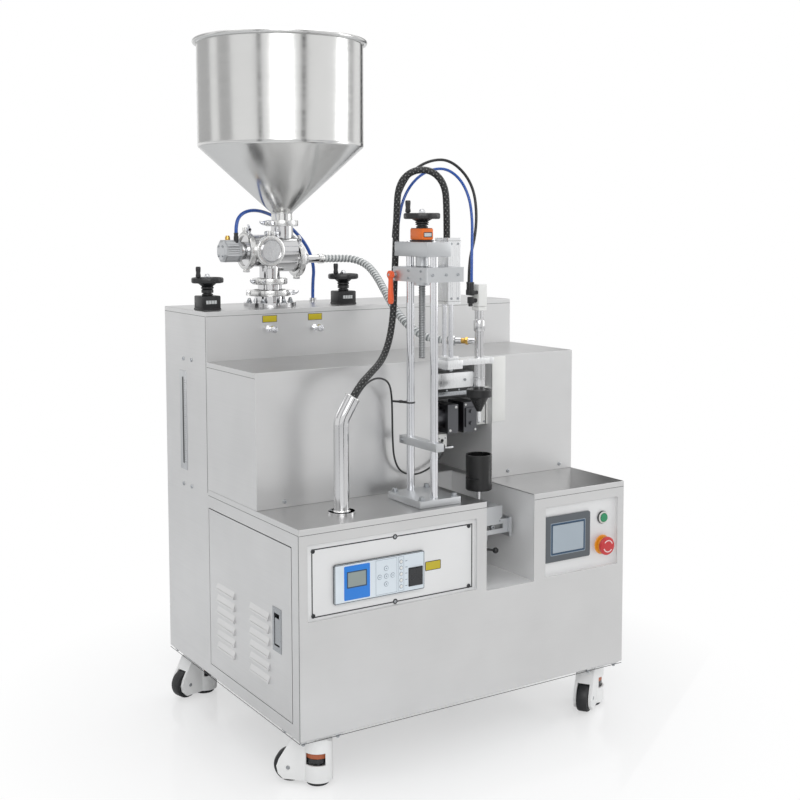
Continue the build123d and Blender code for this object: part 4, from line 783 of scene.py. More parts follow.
def handwheel(piece, x, y, low, z, r, angle, top):
    """A wheel at height z over a hub that starts at low, with its grip at an angle in degrees."""
    def waves(row, a):
        return 1 - 0.016 * (1 + math.cos(9 * a)) if 1 <= row <= 5 else 1

    h = z - low
    piece.turned([(0, low), (11, low), (12, low + 0.8), (12, low + 3), (9.5, low + 4), (9.5, low + 5),
        (13, low + 6), (13, low + h * 0.45), (11, low + h * 0.5), (13.5, low + h * 0.56),
        (13.5, low + h * 0.68), (11.5, low + h * 0.72), (15, low + h * 0.82), (20, z - 0.5), (20, z + 1),
        (0, z + 1)], (x, y, 0))
    piece.turned([(0, z), (r - 3, z), (r - 0.8, z + 1), (r, z + 3.5), (r, z + 8.5), (r - 1, z + 11),
        (r - 3.5, z + 12), (r - 6, z + 11), (r - 8.5, z + 7.6), (17, z + 6.5), (13, z + 8), (12, z + 12),
        (0, z + 12)], (x, y, 0), steps=72, shape=waves)
    piece.nut((x, y, z + 12), UP, 7.5, 4, 1, 4.5)
    a = math.radians(angle)
    grip = (x + (r - 9) * math.cos(a), y + (r - 9) * math.sin(a), 0)
    piece.turned([(0, z + 5), (3.4, z + 5), (3.4, z + 12.6), (5.2, z + 13.6), (5.7, z + 16),
        (4.7, z + 22), (5.4, top - 6), (5.3, top - 2), (4.4, top), (0, top)], grip, steps=24)


def thread(piece, centre, low, high, r, pitch, paint):
    rows = [(r, low + i * pitch / 4) for i in range(int((high - low) / pitch * 4))]

    def helix(row, a):
        return 0.91 + 0.09 * math.cos(math.pi / 2 * row - a)

    piece.turned([(r * 0.8, low - 0.4)] + rows + [(r * 0.8, high)], centre, paint=paint, steps=24,
        shape=helix)


SCREW_X, SCREW_Y = 322, 76
column_wheel = Piece()
thread(column_wheel, (SCREW_X, SCREW_Y, 0), 800, 1060, 7, 5.0, 2)
column_wheel.turned([(0, 983.4), (12, 983.4), (13, 984.4), (13, 1002.6), (12, 1003.6), (0, 1003.6)],
    (SCREW_X, SCREW_Y, 0), paint=3)
handwheel(column_wheel, SCREW_X, SCREW_Y, 1060.3, 1078, 37, 150, 1115)
column_wheel.done([black_nylon, hard_chrome, rolled_thread, anodised_aluminium], "column_wheel")
STROKE_X = {"left": 36.5, "right": 373.5}
for side, x in STROKE_X.items():
    wheel = Piece()
    wheel.bar((x, 483, 870), (x, 483, 916), 6, 1)
    handwheel(wheel, x, 483, 915.3, 942, 35, 200, 978)
    wheel.done([black_nylon, hard_chrome], f"stroke_wheel_{side}")

# %% [markdown]
# Under each handwheel a counter shows how far its screw has turned. The one on the column is
# orange ABS on a black foot, the others are black, and each shows its drums through a small
# window. A window is a ring of the housing that steps inward and ends in a pane.

# %% Counters
counters = Piece()
counters.blocks((306.5, 335.5, 52.5, 98.5, 1033, 1036.2, 1.2, 1), (307, 335, 53.4, 98, 1036.2, 1060, 3.4))
counters.panel(311, 331, 1042, 1052, [(0, 54), (0, 52.9), (0.6, 52.5), (1.2, 52.5), (1.5, 53)], 1.5, 1, 2)
counters.block(309, 333, 56, 96, 1059.4, 1060.2, 0.2, 1)
for x in STROKE_X.values():
    counters.blocks((x - 22.5, x + 22.5, 462.4, 504, 885, 915, 2.6, 1),
        (x - 22.9, x + 22.9, 462, 504.4, 885, 888, 0.8, 1))
    counters.panel(x - 14, x + 14, 896, 907, [(0, 463), (0, 461.9), (0.7, 461.4), (1.4, 461.4),
        (1.8, 462)], 1.5, 1, 2)
    counters.blocks(*((x + step - 0.25, x + step + 0.25, 461.5, 462.2, 898, 905, 0, 1)
        for step in (-6.2, 0, 6.2)))
counters.done([orange_abs, black_nylon, counter_drum], "position_counters")

# %% [markdown]
# The column is a small machine in itself: a foot plate bolted to the deck, two ground and chromed
# rods, a tie across them and a top plate. Its plates are anodised aluminium with broken edges. The
# carriage rides on the rods, held by screws and, at its left, by a lever that clamps it.

# %% Column
column = Piece()
column.blocks((278, 376, 16, 136, 508, 523, 1.6), (312, 332, 12, 147, 618, 635, 1.2),
    (292, 350, 14, 132, 1004, 1033, 1.2))
for y in (33, 119):
    column.bar((SCREW_X, y, 508), (SCREW_X, y, 1033.6), 8, 1, 0.8, 40)
column.screws([(312, 140, 626)], LEFT, 3.4, 2.2, 2)
column.done([anodised_aluminium, hard_chrome, zinc_steel], "column_frame")

bolts = Piece()
bolts.screws(product([292], (80, 35), (961, 976)), LEFT, 2.6, 1.6)
bolts.screws(product((306, 338, 366), [14], [968.5]), FRONT, 3.0, 2.0)
bolts.nut((SCREW_X, SCREW_Y, 983), UP, 12, 0.2)
bolts.turned([(7.2, 946), (15, 946), (16, 947), (16, 954), (7.2, 954)], (SCREW_X, SCREW_Y, 0), paint=1,
    loop=True)
bolts.done([zinc_steel, anodised_aluminium], "carriage", "carriage_screws")

LEVER_Y, LEVER_Z = 133, 966
lever = Piece()
lever.bar((279, LEVER_Y, LEVER_Z), (304, LEVER_Y, LEVER_Z), 4, 1)
for profile, paint, steps in (
        ([(0, 278.4), (6.4, 278.4), (8.4, 280), (8.6, 284), (7.4, 288.4), (6.6, 288.8), (0, 288.8)], 0, 32),
        (disc(5.6, 288.8, 291.6), 1, 24), ([(0, 277.9), (2.6, 277.9), (3, 278.6), (0, 278.6)], 1, 24)):
    lever.turned(profile, (0, LEVER_Y, LEVER_Z), RIGHT, paint, steps)
lever.turned([(0, 0), (5.2, 2), (4.8, 10), (5.4, 30), (6.3, 48), (6.2, 55), (4.6, 58.4), (2, 59.6),
    (0, 59.8)], (283.7, LEVER_Y, LEVER_Z), DOWN, 0, 28)
lever.done([lever_red, zinc_steel], "clamp_lever")

# %% [markdown]
# The filling head hangs from the carriage: an air cylinder of drawn aluminium profile lowers a yoke
# on two guide rods, and the yoke carries the nozzle. The nozzle stacks a white acetal valve block
# with black push-in elbows, a polished stem, a brass side inlet and a black plug that centres the
# tube.

# %% Filling head
cylinder = Piece()
cylinder.blocks(*((381.8, 414.3, 70.7, 120.3, z - 0.25, z + 0.25, 0, 1) for z in (911, 1034)))
cylinder.blocks(*((x - 0.5, x + 0.5, 70.7, 71.2, 913, 1032, 0.2) for x in (388, 393, 403, 408)))
cylinder.screws(product([414], (78, 113), (914, 1030)), RIGHT, 2.6, 1.2, 2)
cylinder.screws(product((390, 406), [71], (917, 1028)), FRONT, 2.6, 1.2, 2)
cylinder.done([bright_aluminium, line_ink, zinc_steel], "nozzle_cylinder", "nozzle_cylinder_details")

yoke = Piece()
yoke.blocks((386, 424, 78, 128, 771, 790, 1.0), (390, 416, 82, 112, 790, 797),
    (424, 515, 95, 135, 775, 788, 1.0), (505, 515.4, 94.6, 135.4, 774.6, 788.4, 0.6))
for y in (84, 108):
    yoke.bar((398, y, 795), (398, y, 945), 5, 1)
    yoke.screws([(398, y, 771)], DOWN, 4, 4, 2)
yoke.screws([(410, 119, 790)], UP, 3.4, 3.4, 2)
yoke.screws(product([515.4], (101, 129), [781.5]), RIGHT, 2.4, 1.2, 2)
yoke.done([bright_aluminium, hard_chrome, zinc_steel], "yoke")

NOZZLE_X, NOZZLE_Y = 492, 115
axis = (NOZZLE_X, NOZZLE_Y, 0)
nozzle = Piece()
nozzle.blocks((481, 503, 102, 128, 895, 942, 1.4), (481.4, 502.6, 102.4, 127.6, 887, 894.4, 1.0))
nozzle.turned([(0, 774), (13, 774), (13, 779.6), (12, 780.6), (9.6, 781), (9.5, 842), (11.4, 843),
    (12, 845), (12, 865), (11, 867), (9.5, 868), (9.5, 886), (10.5, 886.4), (10.5, 888), (0, 888)], axis,
    paint=1)
nozzle.turned([(0, 719), (12.4, 719), (13, 720), (13, 745), (12.3, 745.8), (13, 746.6), (13, 774.8),
    (0, 774.8)], axis, paint=1)
nozzle.turned([(0, 672), (5, 672.2), (20.4, 702.4), (25.6, 703.2), (26.7, 704.4), (26.7, 718),
    (25.6, 719.6), (14, 720.2), (0, 720.2)], axis, paint=2, steps=64)
nozzle.bar((NOZZLE_X, NOZZLE_Y, 650), (NOZZLE_X, NOZZLE_Y, 673), 4, 6, 0.8)
inlet, inlet_way = Vector((NOZZLE_X, NOZZLE_Y, 821)), Vector((-0.6, 0.8, 0))
for near, far, r, paint in ((8, 26, 6.2, 1), (26, 31, 7, 4), (31, 39, 6, 4), (39, 53.5, 7, 1)):
    nozzle.bar(inlet + inlet_way * near, inlet + inlet_way * far, r, paint, 0.8)
nozzle.nut(inlet + inlet_way * 24, inlet_way, 8.2, 6, 4)
for x, y in ((470, 122), (467, 108)):
    nozzle.bar((x, y, 928), (x, y, 945), 5, 3, 0.8)
    nozzle.turned([(0, 0), (5.4, 0), (5.4, 3), (4.6, 4), (0, 4)], (x, y, 943), paint=5)
    nozzle.block(x - 5, x + 5, y - 5, y + 5, 919, 931, 1.6, 3)
    nozzle.bar((x + 3, y, 925), (482, y, 925), 3.9, 3, 0.6)
nozzle.bar((467, 112, 908), (482, 112, 908), 4.6, 3, 0.8)
nozzle.block(462, 473, 106.5, 117.5, 902, 916, 1.6, 3)
nozzle.bar((467, 112, 896), (467, 112, 903), 4.4, 3, 0.8)
nozzle.done([white_acetal, polished_stainless, black_anodised, black_nylon, turned_brass, switch_black,
    bright_aluminium], "filling_nozzle")

# %% [markdown]
# The sealing bay holds fixed pieces of very different kinds: a bright beam, a black guide rail, a
# white bracket and sensor, thin steel plates, and behind the wall the slide of the ultrasonic stack
# and the air cylinder of the anvil. One CAD node holds them all, so one piece with several
# materials takes its place. The jaws move, so their white screws ride on them.

# %% Sealing bay
seal = Piece()
seal.blocks((429, 445, 20, 290, 420, 440, 0.8, 3), (429, 455, 100, 114, 382, 402, 1.0, 1),
    (429, 541, 200, 235, 712, 746, 1.0), (429, 529, 203, 233, 690, 712, 0.8, 1),
    (429, 529, 201, 203.4, 696, 705, 0.4, 3), (540, 568, 192, 200, 628, 684, 1.0, 2),
    (564, 572, 192, 200, 628, 712, 0.8, 2), (429, 480, 192, 214, 583, 587, 0.6),
    (440, 466, 196, 212, 587, 615, 1.6, 2))
seal.turned([(0, 0), (3.6, 0), (3.6, 0.6), (2.4, 0.6), (2.2, 0.2), (0, 0.2)], (453, 196, 601), FRONT, 1)
seal.screws(product((445, 461), [196], [606]), FRONT, 1.8, 1.0, 3)
seal.screws(product((440, 516), [200], [729]), FRONT, 3.2, 1.6, 3)
seal.screws(product((438, 470, 502), [203], [708]), FRONT, 2.2, 1.2, 3)
seal.screws(((546, 192, 634), (546, 192, 678), (562, 192, 634)), FRONT, 2.4, 1.4, 3)
seal.blocks((234, 342, 188, 236, 508, 619), (234, 342, 188, 236, 617, 640),
    (574, 700, 184, 240, 622, 678, 1.5))
seal.done([bright_aluminium, black_nylon, white_acetal, zinc_steel], "seal_frame")
for name, centres, r, h in (("horn", ((478, 180, 674), (463, 180, 624)), 2.8, 1.6),
        ("anvil", ((505, 182, 677), (531, 182, 621)), 2.6, 1.4)):
    bolts = Piece()
    bolts.screws(centres, FRONT, r, h)
    bolts.done([white_acetal], name, name + "_screws")

# %% [markdown]
# The tube stands in a cup of matt black anodised aluminium, turned with a small relief slot low on
# one side, on a steel shaft. Under it a bright carrier with a slotted bar slides on the bay's rail.

# %% Cup and carrier


def relief(row, a):
    """Cuts a slot in the cup's wall between two rows, on its left."""
    return 0.95 if row in (4, 5) and 2.7 < a < 4.1 else 1


cup = Piece()
cup.turned([(0, 505), (26.6, 505), (28, 506.4), (28, 530), (28, 530.1), (28, 533), (28, 533.1),
    (28, 579.8), (27.2, 581), (25.6, 581), (25, 580.2), (25, 509.6), (0, 509)], axis, steps=72,
    shape=relief)
cup.turned([(0, 475.5), (11, 475.5), (11, 480.4), (10.2, 481), (5, 481), (5, 505.4), (0, 505.4)], axis,
    paint=1)
cup.bar((NOZZLE_X, NOZZLE_Y, 454.5), (NOZZLE_X, NOZZLE_Y, 476), 5, 1)
cup.done([black_anodised, polished_stainless], "tube_cup")

bolts = Piece()
bolts.screws(product([540], (68, 86), (417, 441)), RIGHT, 2.2, 1.2)
bolts.screws(product((470, 514), [70], [443]), FRONT, 2.0, 1.2)
bolts.screws([(496, 78, 431)], FRONT, 4.4, 9.4)
bolts.screws(((468, 76, 475), (515, 76, 475), (468, 134, 475), (515, 134, 475)), UP, 2.6, 0.2)
bolts.done([zinc_steel], "cup_slide", "cup_slide_screws")

# %% [markdown]
# The valve stack is sanitary tube: polished stainless parts with a flange at each end, held in
# pairs by clamps that a cleaner opens by hand. Each clamp is a ring with a hinge on one side and a
# bolt with a wing nut on the other. One clamp is drawn standing and set down six times.

# %% Sanitary clamps


def clamp_at(holder, place, bore, r):
    clamp = Piece()
    clamp.turned([(bore, -7), (r - 3, -7), (r - 0.6, -6), (r, -4), (r, 4), (r - 0.6, 6), (r - 3, 7),
        (bore, 7)], steps=64, loop=True)
    clamp.blocks((r - 3, r + 10, -9, -2, -5.4, 5.4, 1.6), (r - 3, r + 10, 2, 9, -5.4, 5.4, 1.6),
        (-r - 6, -r + 3, -7, -1, -6, 6, 1.6), (-r - 6, -r + 3, 1, 7, -6, 6, 1.6))
    clamp.bar((-r - 3.4, -7.6, 0), (-r - 3.4, 7.6, 0), 2.2, 1)
    clamp.bar((r + 5, -20, 0), (r + 5, 11, 0), 2.6, 1)
    clamp.nut((r + 5, 9, 0), BACK, 4.6, 3.4, 1)
    clamp.turned([(0, 9), (5.2, 9), (5.4, 12), (4.4, 19), (3.6, 20), (0, 20)], (r + 5, 0, 0), FRONT, 1)
    wings = [(-11, 1), (-11.6, 4.4), (-9.4, 5.6), (-5, 3.6), (-2, 3.6), (2, 3.6), (5, 3.6), (9.4, 5.6),
        (11.6, 4.4), (11, 1), (6, -2.6), (2, -3.6), (-2, -3.6), (-6, -2.6)]
    clamp.plate([(u + r + 5, v) for u, v in wings], -19.6, -16.4, 1, 0.9)
    holder.place(clamp, place)


def turned_by(degrees, axis):
    return Matrix.Rotation(math.radians(degrees), 4, axis)


clamps = Piece()
for place, spin, bore, r in (
        ((238, 524, 1070), turned_by(200, "Z"), 27, 37),
        ((206, 524, 940), turned_by(215, "Z"), 29, 40),
        ((206, 524, 914), turned_by(340, "Z"), 36, 47),
        ((149, 524, 1009), turned_by(-90, "Y"), 34, 42),
        ((274, 524, 988), turned_by(-90, "Y"), 29, 39),
        ((186, 480, 1009), turned_by(90, "X") @ turned_by(90, "Z"), 26, 34)):
    clamp_at(clamps, Matrix.Translation(place) @ spin, bore, r)
clamps.done([satin_stainless, hard_chrome], "tri_clamps")

# %% [markdown]
# The valve's air actuator is an extruded octagon with flutes along it, shut by end plates with
# screws, and it carries a brass cable gland and a push-in air fitting. The front of the valve body
# is closed by a bright blind cap. The hose is squeezed onto its barbs by steel ferrules.

# %% Actuator and ferrules


def fluted(row, a):
    """An octagon's outline, with a flute at every second step of its long faces."""
    face = math.pi / 4
    flat = math.cos(face / 2) / math.cos((a + face / 2) % face - face / 2)
    flute = row in (4, 5) and round(a * 64 / (2 * math.pi)) % 2
    return flat * (0.95 if flute else 1)


VALVE_Y, VALVE_Z = 524, 1009
actuator = Piece()
actuator.turned([(0, 87), (20.5, 87), (26.4, 91.4), (26.4, 94), (26.4, 94.2), (26.4, 121.8), (26.4, 122),
    (26.4, 128), (24.6, 129.2), (0, 129.2)], (0, VALVE_Y, VALVE_Z), RIGHT, 0, 64, shape=fluted)
for profile in (disc(20, 127, 146), disc(37, 146, 149)):
    actuator.turned(profile, (0, VALVE_Y, VALVE_Z), RIGHT, 1)
quarters = [math.radians(45 + 90 * step) for step in range(4)]
actuator.screws([(87, VALVE_Y + 15 * math.cos(a), VALVE_Z + 15 * math.sin(a)) for a in quarters], LEFT,
    2.6, 1.6, 2)
actuator.nut((104, VALVE_Y, 1029), UP, 7.6, 5, 3)
actuator.turned([(0, 0), (5.6, 0), (5.6, 5), (4.4, 7), (4.4, 9), (0, 9)], (104, VALVE_Y, 1034), paint=3)
actuator.turned([(0, 0), (5.5, 0), (5.5, 14), (4.8, 15), (4.8, 20), (5.4, 20.6), (5.4, 22), (0, 22)],
    (120, 514, 1027), paint=4)
actuator.done([anodised_aluminium, polished_stainless, zinc_steel, turned_brass, switch_black],
    "valve_actuator")
ferrule = [(8.8, 0), (10.6, 0.4), (10.9, 1.2), (10.9, 4), (10.2, 4.6), (10.9, 5.2), (10.9, 8.2),
    (10.2, 8.8), (10.9, 9.4), (10.9, 13), (10.4, 14), (8.8, 14)]
for name, centre, aim, material, node in (
        ("rear", (330, VALVE_Y, 988), RIGHT, satin_stainless, "valve_fittings"),
        ("front", inlet + inlet_way * 52.5, (-0.6, 0.8, 0), polished_stainless, "filling_nozzle")):
    hose_end = Piece()
    hose_end.turned(ferrule, centre, aim, loop=True)
    hose_end.done([material], node, "hose_ferrule_" + name)
valve_trim = Piece()
valve_trim.turned([(0, 0), (21, 0), (22, 0.8), (22, 3), (0, 3)], (186, 474.4, VALVE_Z), FRONT, 0, 64)
valve_trim.done([bright_aluminium], "valve_fittings", "blind_cap_face")

# %% [markdown]
# Two shallow trays in the front carry the controls. On the left the ultrasonic generator shows a
# printed film: a blue field with a grey display, five round keys in a cross and a row of lamps. A
# dark line with small notches frames the tray, and a yellow tag, bare here, sits at its right.

# %% Generator panel
TRAY_Y, FILM_Y = 8, 3


def strip(piece, x0, x1, z0, z1, face, width, paint):
    """A printed frame of four thin strips on a plane of constant Y."""
    for low_x, high_x, low_z, high_z in ((x0, x1, z0, z0 + width), (x0, x1, z1 - width, z1),
            (x0, x0 + width, z0 + width, z1 - width), (x1 - width, x1, z0 + width, z1 - width)):
        piece.block(low_x, high_x, face - 0.25, face + 0.05, low_z, high_z, 0, paint)


face = Piece()
face.panel(76, 279, 353, 429, [(0, 8), (0, 3.4), (0.5, 2.9), (1.6, 2.75), (1.9, 2.9)], 3, 1, 0)
face.panel(97, 154, 358, 424, [(0, 2.9), (0, 2.66), (0.2, 2.6)], 2.5, 2)
face.panel(103, 147, 381, 413, [(0, 2.7), (0, 2.3), (0.4, 2.2), (2, 2.2), (2.3, 2.5)], 1.5, 4, 3)
strip(face, 167, 215, 357, 425, 2.9, 0.5, 5)
strip(face, 218.5, 231, 357, 425, 2.9, 0.5, 5)
for x, z in ((190.5, 407), (190.5, 391.6), (190.5, 376.2), (175.7, 391.6), (205.3, 391.6)):
    face.turned([(0, 0), (4.9, 0), (4.9, 0.5), (4.2, 0.8), (0, 0.8)], (x, FILM_Y, z), FRONT, 5, 32)
    face.turned([(0, 0.7), (4, 0.7), (3.8, 1.1), (0, 1.2)], (x, FILM_Y, z), FRONT, 0, 32)
    face.turned([(0, 1.1), (1.5, 1.1), (1.4, 1.3), (0, 1.35)], (x, FILM_Y, z), FRONT, 5, 16)
for z in (365.8, 378, 390.4, 402.6, 414.8):
    face.turned([(0, 0), (4.1, 0), (4.1, 0.5), (3.4, 0.7), (0, 0.7)], (224.7, FILM_Y, z), FRONT, 5, 28)
    face.turned([(0, 0.6), (3.3, 0.6), (2.4, 1.3), (0, 1.5)], (224.7, FILM_Y, z), FRONT, 6, 28)
    face.block(234, 239, 2.65, 2.95, z - 0.6, z + 0.6, 0, 5)
face.panel(241.4, 274.6, 362.4, 399.6, [(0, 2.9), (0, 2.2), (0.6, 1.9), (2.6, 2.1), (3, 3)], 1.5, 7, 7)
face.done([pale_film, screen_bezel, blue_film, crystal_grey, lcd_frame, key_ink, white_acetal,
    switch_black], "generator", "generator_face")

tray = Piece()
strip(tray, 30, 398, 335, 466, TRAY_Y, 2.2, 0)
for z in (464.4, 336.6):
    tray.turned(disc(5.2, 0, 0.35), (214, TRAY_Y, z), FRONT, 0, 24)
    tray.turned([(0, 0.3), (3.0, 0.3), (2.8, 0.7), (0, 0.7)], (214, TRAY_Y, z), FRONT, 1, 24)
tray.panel(284, 321, 385.5, 404, [(0, 8), (0, 7.5), (0.3, 7.4), (1.1, 7.4), (1.2, 7.45)], 2, 0, 2)
tray.done([line_ink, zinc_steel, yellow_tag], "bay_linings", "tray_lines")

# %% [markdown]
# On the right a small touch screen stands beside two buttons. Its grey bezel steps inward to a thin
# pale line, a dark gap and the glass. The start button is green in a pale ring, and the stop button
# is a red mushroom on a yellow collar, with two pale arcs that show which way it turns free.

# %% Touch screen and buttons
screen = Piece()
screen.block(588.1, 698.9, 8, 44, 362.1, 445.9, 0.5)
for x0, x1, z0, z1, rows, r, paint in (
        (582.5, 707, 355, 453, [(0, 8), (0, 3.6), (1, 2.3), (2.4, 2), (14.2, 2), (14.6, 2.4)], 4, 0),
        (597, 692.6, 369, 439, [(0, 2.2), (0, 1.9), (0.5, 1.7), (1.2, 1.7), (1.4, 1.9)], 2, 2),
        (598.6, 691, 370.6, 437.4, [(0, 2), (0, 1.85), (0.3, 1.75), (3.2, 1.75), (3.4, 1.9)], 1.5, 3),
        (602.6, 687, 374.6, 433.4, [(0, 1.9), (0, 1.7), (0.2, 1.6), (0.6, 1.6)], 1, 1)):
    screen.panel(x0, x1, z0, z1, rows, r, paint)
screen.done([screen_bezel, screen_glass, key_ink, lcd_frame], "touch_screen")

START, STOP = (745, 8, 433), (745, 8, 373)
collars = Piece()
collars.turned([(9.6, -22), (10.9, -22), (10.9, 0), (14, 0), (14, 2), (13.4, 2.6), (13.4, 3.4), (13, 4),
    (9.6, 4)], START, FRONT, 0, 48, loop=True)
collars.turned([(9.7, 3.6), (12.9, 3.6), (13, 4.4), (12.2, 5.6), (10.6, 6), (9.7, 5.6)], START, FRONT, 1, 48,
    loop=True)
collars.turned([(6.1, -26), (10.9, -26), (10.9, 0), (21, 0), (21, 1.4), (20, 2.4), (14.4, 3.4), (13.4, 5.4),
    (13, 6), (6.1, 6)], STOP, FRONT, 2, 48, loop=True)
collars.done([switch_black, pale_nylon, collar_yellow], "button_collars")
start = Piece()
start.turned([(0, -7.4), (9.4, -7.4), (9.4, 7), (8.8, 7.8), (7.4, 8), (0, 8.1)], START, FRONT, 0, 48)
start.done([green_lens], "start_button")
stop = Piece()
stop.turned([(0, -11.8), (6, -11.8), (6, 11.4), (11, 11.4), (18.2, 12.2), (20, 14), (20, 17.4),
    (18.6, 19.3), (16, 20.1), (12, 20.3), (0, 20.3)], STOP, FRONT, 0, 56)
ARROW = ((11.2, 0), (11.2, 1), (13.4, 1), (13.4, 0))
for first in (20, 200):
    turns = [math.radians(first + 8.6 * step) for step in range(15)]
    stop.loft([[(745 + u * math.cos(a), -12.2 - 0.35 * v, 373 + u * math.sin(a)) for u, v in ARROW]
        for a in turns], 1)
stop.done([stop_red, arrow_white], "stop_button")

# %% [markdown]
# Four castors carry the machine. Each has a white coated housing that swivels, a black wheel and a
# levelling foot: a rubber pad on a screw, turned by an orange knurled ring that shows through the
# housing's windows above a black disc. One is drawn about its own axis and turned to its place.

# %% Castors
CASTORS = {"front_left": (50, 50, -42), "front_right": (750, 50, 35), "rear_left": (50, 588, 15),
    "rear_right": (750, 588, 200)}
FOOT, HUB = (12, 0, 0), (-42, 0, 32.5)


def knurl(row, a):
    return 1 - 0.012 * (1 + math.cos(36 * a)) if row in (2, 3) else 1


plate_bolts = Piece()
for corner, (x, y, angle) in CASTORS.items():
    place = Matrix.Translation((x, y, 0)) @ turned_by(angle, "Z")
    foot, wheel, inner = Piece(), Piece(), Piece()
    inner.turned([(0, 0), (20.6, 0), (22, 1.4), (22, 8), (20.6, 10), (12, 11), (0, 11)], FOOT, steps=48)
    thread(inner, FOOT, 11, 81, 8.9, 4.0, 1)
    inner.turned([(0, 44), (22.6, 44), (23.5, 45), (23.5, 53), (22.6, 54), (0, 54)], FOOT, paint=2,
        steps=48)
    inner.turned([(0, 54), (23.2, 54), (24.5, 55.4), (24.5, 62.6), (23.2, 64), (12, 64.4), (0, 64.4)],
        FOOT, paint=3, steps=144, shape=knurl)
    foot.place(inner, place)
    foot.done([pad_rubber, zinc_steel, switch_black, ring_orange], f"castor_{corner}_foot")
    inner = Piece()
    inner.turned([(16.5, -11), (27, -12.5), (29.6, -11.4), (31, -8.5), (31, 8.5), (29.6, 11.4),
        (27, 12.5), (16.5, 11)], HUB, BACK, 0, 56, loop=True)
    inner.turned([(5, -12), (15, -10.4), (17, -11.4), (17, 11.4), (15, 10.4), (5, 12)], HUB, BACK, 1, 40,
        loop=True)
    inner.bar((-42, -19, 32.5), (-42, 19, 32.5), 4, 2)
    inner.bar((-42, -20.8, 32.5), (-42, -19, 32.5), 3.6, 2, 0.6)
    wheel.place(inner, place)
    wheel.done([tyre_black, switch_black, zinc_steel], f"castor_{corner}_wheel")
    for dx, dy in product((-37, 37), (-37, 37)):
        plate_bolts.nut((x + dx, y + dy, 101), DOWN, 6.4, 4.4)
        plate_bolts.bar((x + dx, y + dy, 92), (x + dx, y + dy, 97), 3.4, 0, 0.6, 16)
plate_bolts.done([zinc_steel], "castor_plates", "castor_plate_bolts")

# %% [markdown]
# Screws, bolts and small knobs are bought parts: socket cap screws on the deck, low button heads on
# the sheet, hexagon nuts on the pipe flange. One CAD node holds them as plain pins, and this piece
# gives each its real head, in the same places.

# %% Screws and knobs
BUTTON_HEAD = [(0, 0), (4.4, 0), (4, 1.6), (2.2, 2.2), (1.8, 1.4), (0, 1.4)]
bolts = Piece()
for low, high in ((114, 145), (453, 484)):
    bolts.bar((5, 403, low), (5, 403, high), 1.5, 0, 0.3, 16)
for x, z in product((33, 389), (339, 462)):
    bolts.turned([(0, 0), (4.2, 0), (4.2, 1.2), (3, 2.2), (1.6, 2.4), (1.4, 1.4), (0, 1.4)],
        (x, TRAY_Y, z), FRONT, 2)
for x in (62, 617, 764):
    bolts.turned(BUTTON_HEAD, (x, 177, 520), FRONT)
for y, z in ((534, 776), (490, 777), (543, 498), (498, 499)):
    bolts.turned(BUTTON_HEAD, (0, y, z), LEFT)
for x, y in product((288, 366), (26, 126)):
    bolts.turned(disc(7.4, 0, 1), (x, y, 523))
    bolts.screws([(x, y, 524)], UP, 5.4, 6)
for step in range(6):
    a = math.radians(step * 60 + 45)
    place = (206 + 47 * math.cos(a), 524 + 47 * math.sin(a))
    bolts.turned(disc(7, 0, 1), (*place, 893))
    bolts.nut((*place, 894), UP, 5.8, 4, 0, 5)
for x, z in product((54, 400, 746), (159, 495, 831)):
    if (x, z) != (400, 495):
        bolts.turned(BUTTON_HEAD, (x, 640, z), BACK)
for x, z in ((149, 843), (262, 841)):
    bolts.nut((x, 410, z), FRONT, 8, 5, 1)
    bolts.turned([(0, 5), (4.4, 5), (4.4, 12), (6.6, 13), (7.6, 14.4), (7.6, 24), (6.6, 25.6), (3, 26),
        (2.6, 30), (0, 31)], (x, 410, z), FRONT, 1, 36)
bolts.done([zinc_steel, hard_chrome, switch_black], "fasteners")

# %% [markdown]
# Some trim belongs to the sheet itself: the seams that show as fine dark lines, with one such line
# painted as shade along the base's front left fold, where no seam is, the pale plate beside the sealing
# bay, the yellow tags over the needle valves, and the scale by the slot in the rear cabinet's side, with
# plain graduations.

# %% Trim of the sheet metal
PROUD, SUNK = -0.18, 0.2
trim = Piece()
# Dark seam lines. The one at Y 1.4 to 2.8 on the left face lies on the base's front left fold, where no seam
# is: painted shade.
trim.blocks(*((*seam, 0) for seam in (
    (0.6, 428.4, PROUD, SUNK, 495.6, 496.5), (551.6, 799.4, PROUD, SUNK, 495.6, 496.5),
    (PROUD, SUNK, 0.6, 409, 495.6, 496.5), (PROUD, SUNK, 411, 637, 874.6, 875.4),
    (0.6, 799.4, 409.82, 410.2, 874.6, 875.4), (PROUD, SUNK, 178, 409, 768.6, 769.4),
    (PROUD, SUNK, 1.4, 2.8, 101, 495), (PROUD, SUNK, 412, 413.2, 501, 874),
    (1.2, 798.8, PROUD, SUNK, 100.6, 101.8), (PROUD, SUNK, 1.2, 638, 100.6, 101.8))))
trim.block(572.2, 608, 175.6, 176.2, 634, 778, 0.2, 1)
for x in (131, 242):
    trim.blocks((x, x + 35, 409.3, 410.2, 857, 872, 0.4), (x + 1, x + 34, 409.1, 410, 858, 871, 0.3, 2))
trim.blocks((-1.2, 0.4, 520, 555, 531, 750, 0.5, 3), (-1.5, 0, 533, 541, 545, 736, 0.4))
for step in range(37):
    reach = 9 if step % 5 == 0 else 5
    z = 549 + step * 5
    trim.block(-1.35, 0, 530 - reach, 530, z - 0.35, z + 0.35, 0)
trim.done([seam_shadow, white_acetal, yellow_tag, anodised_aluminium], "rear_cabinet", "cabinet_trim")

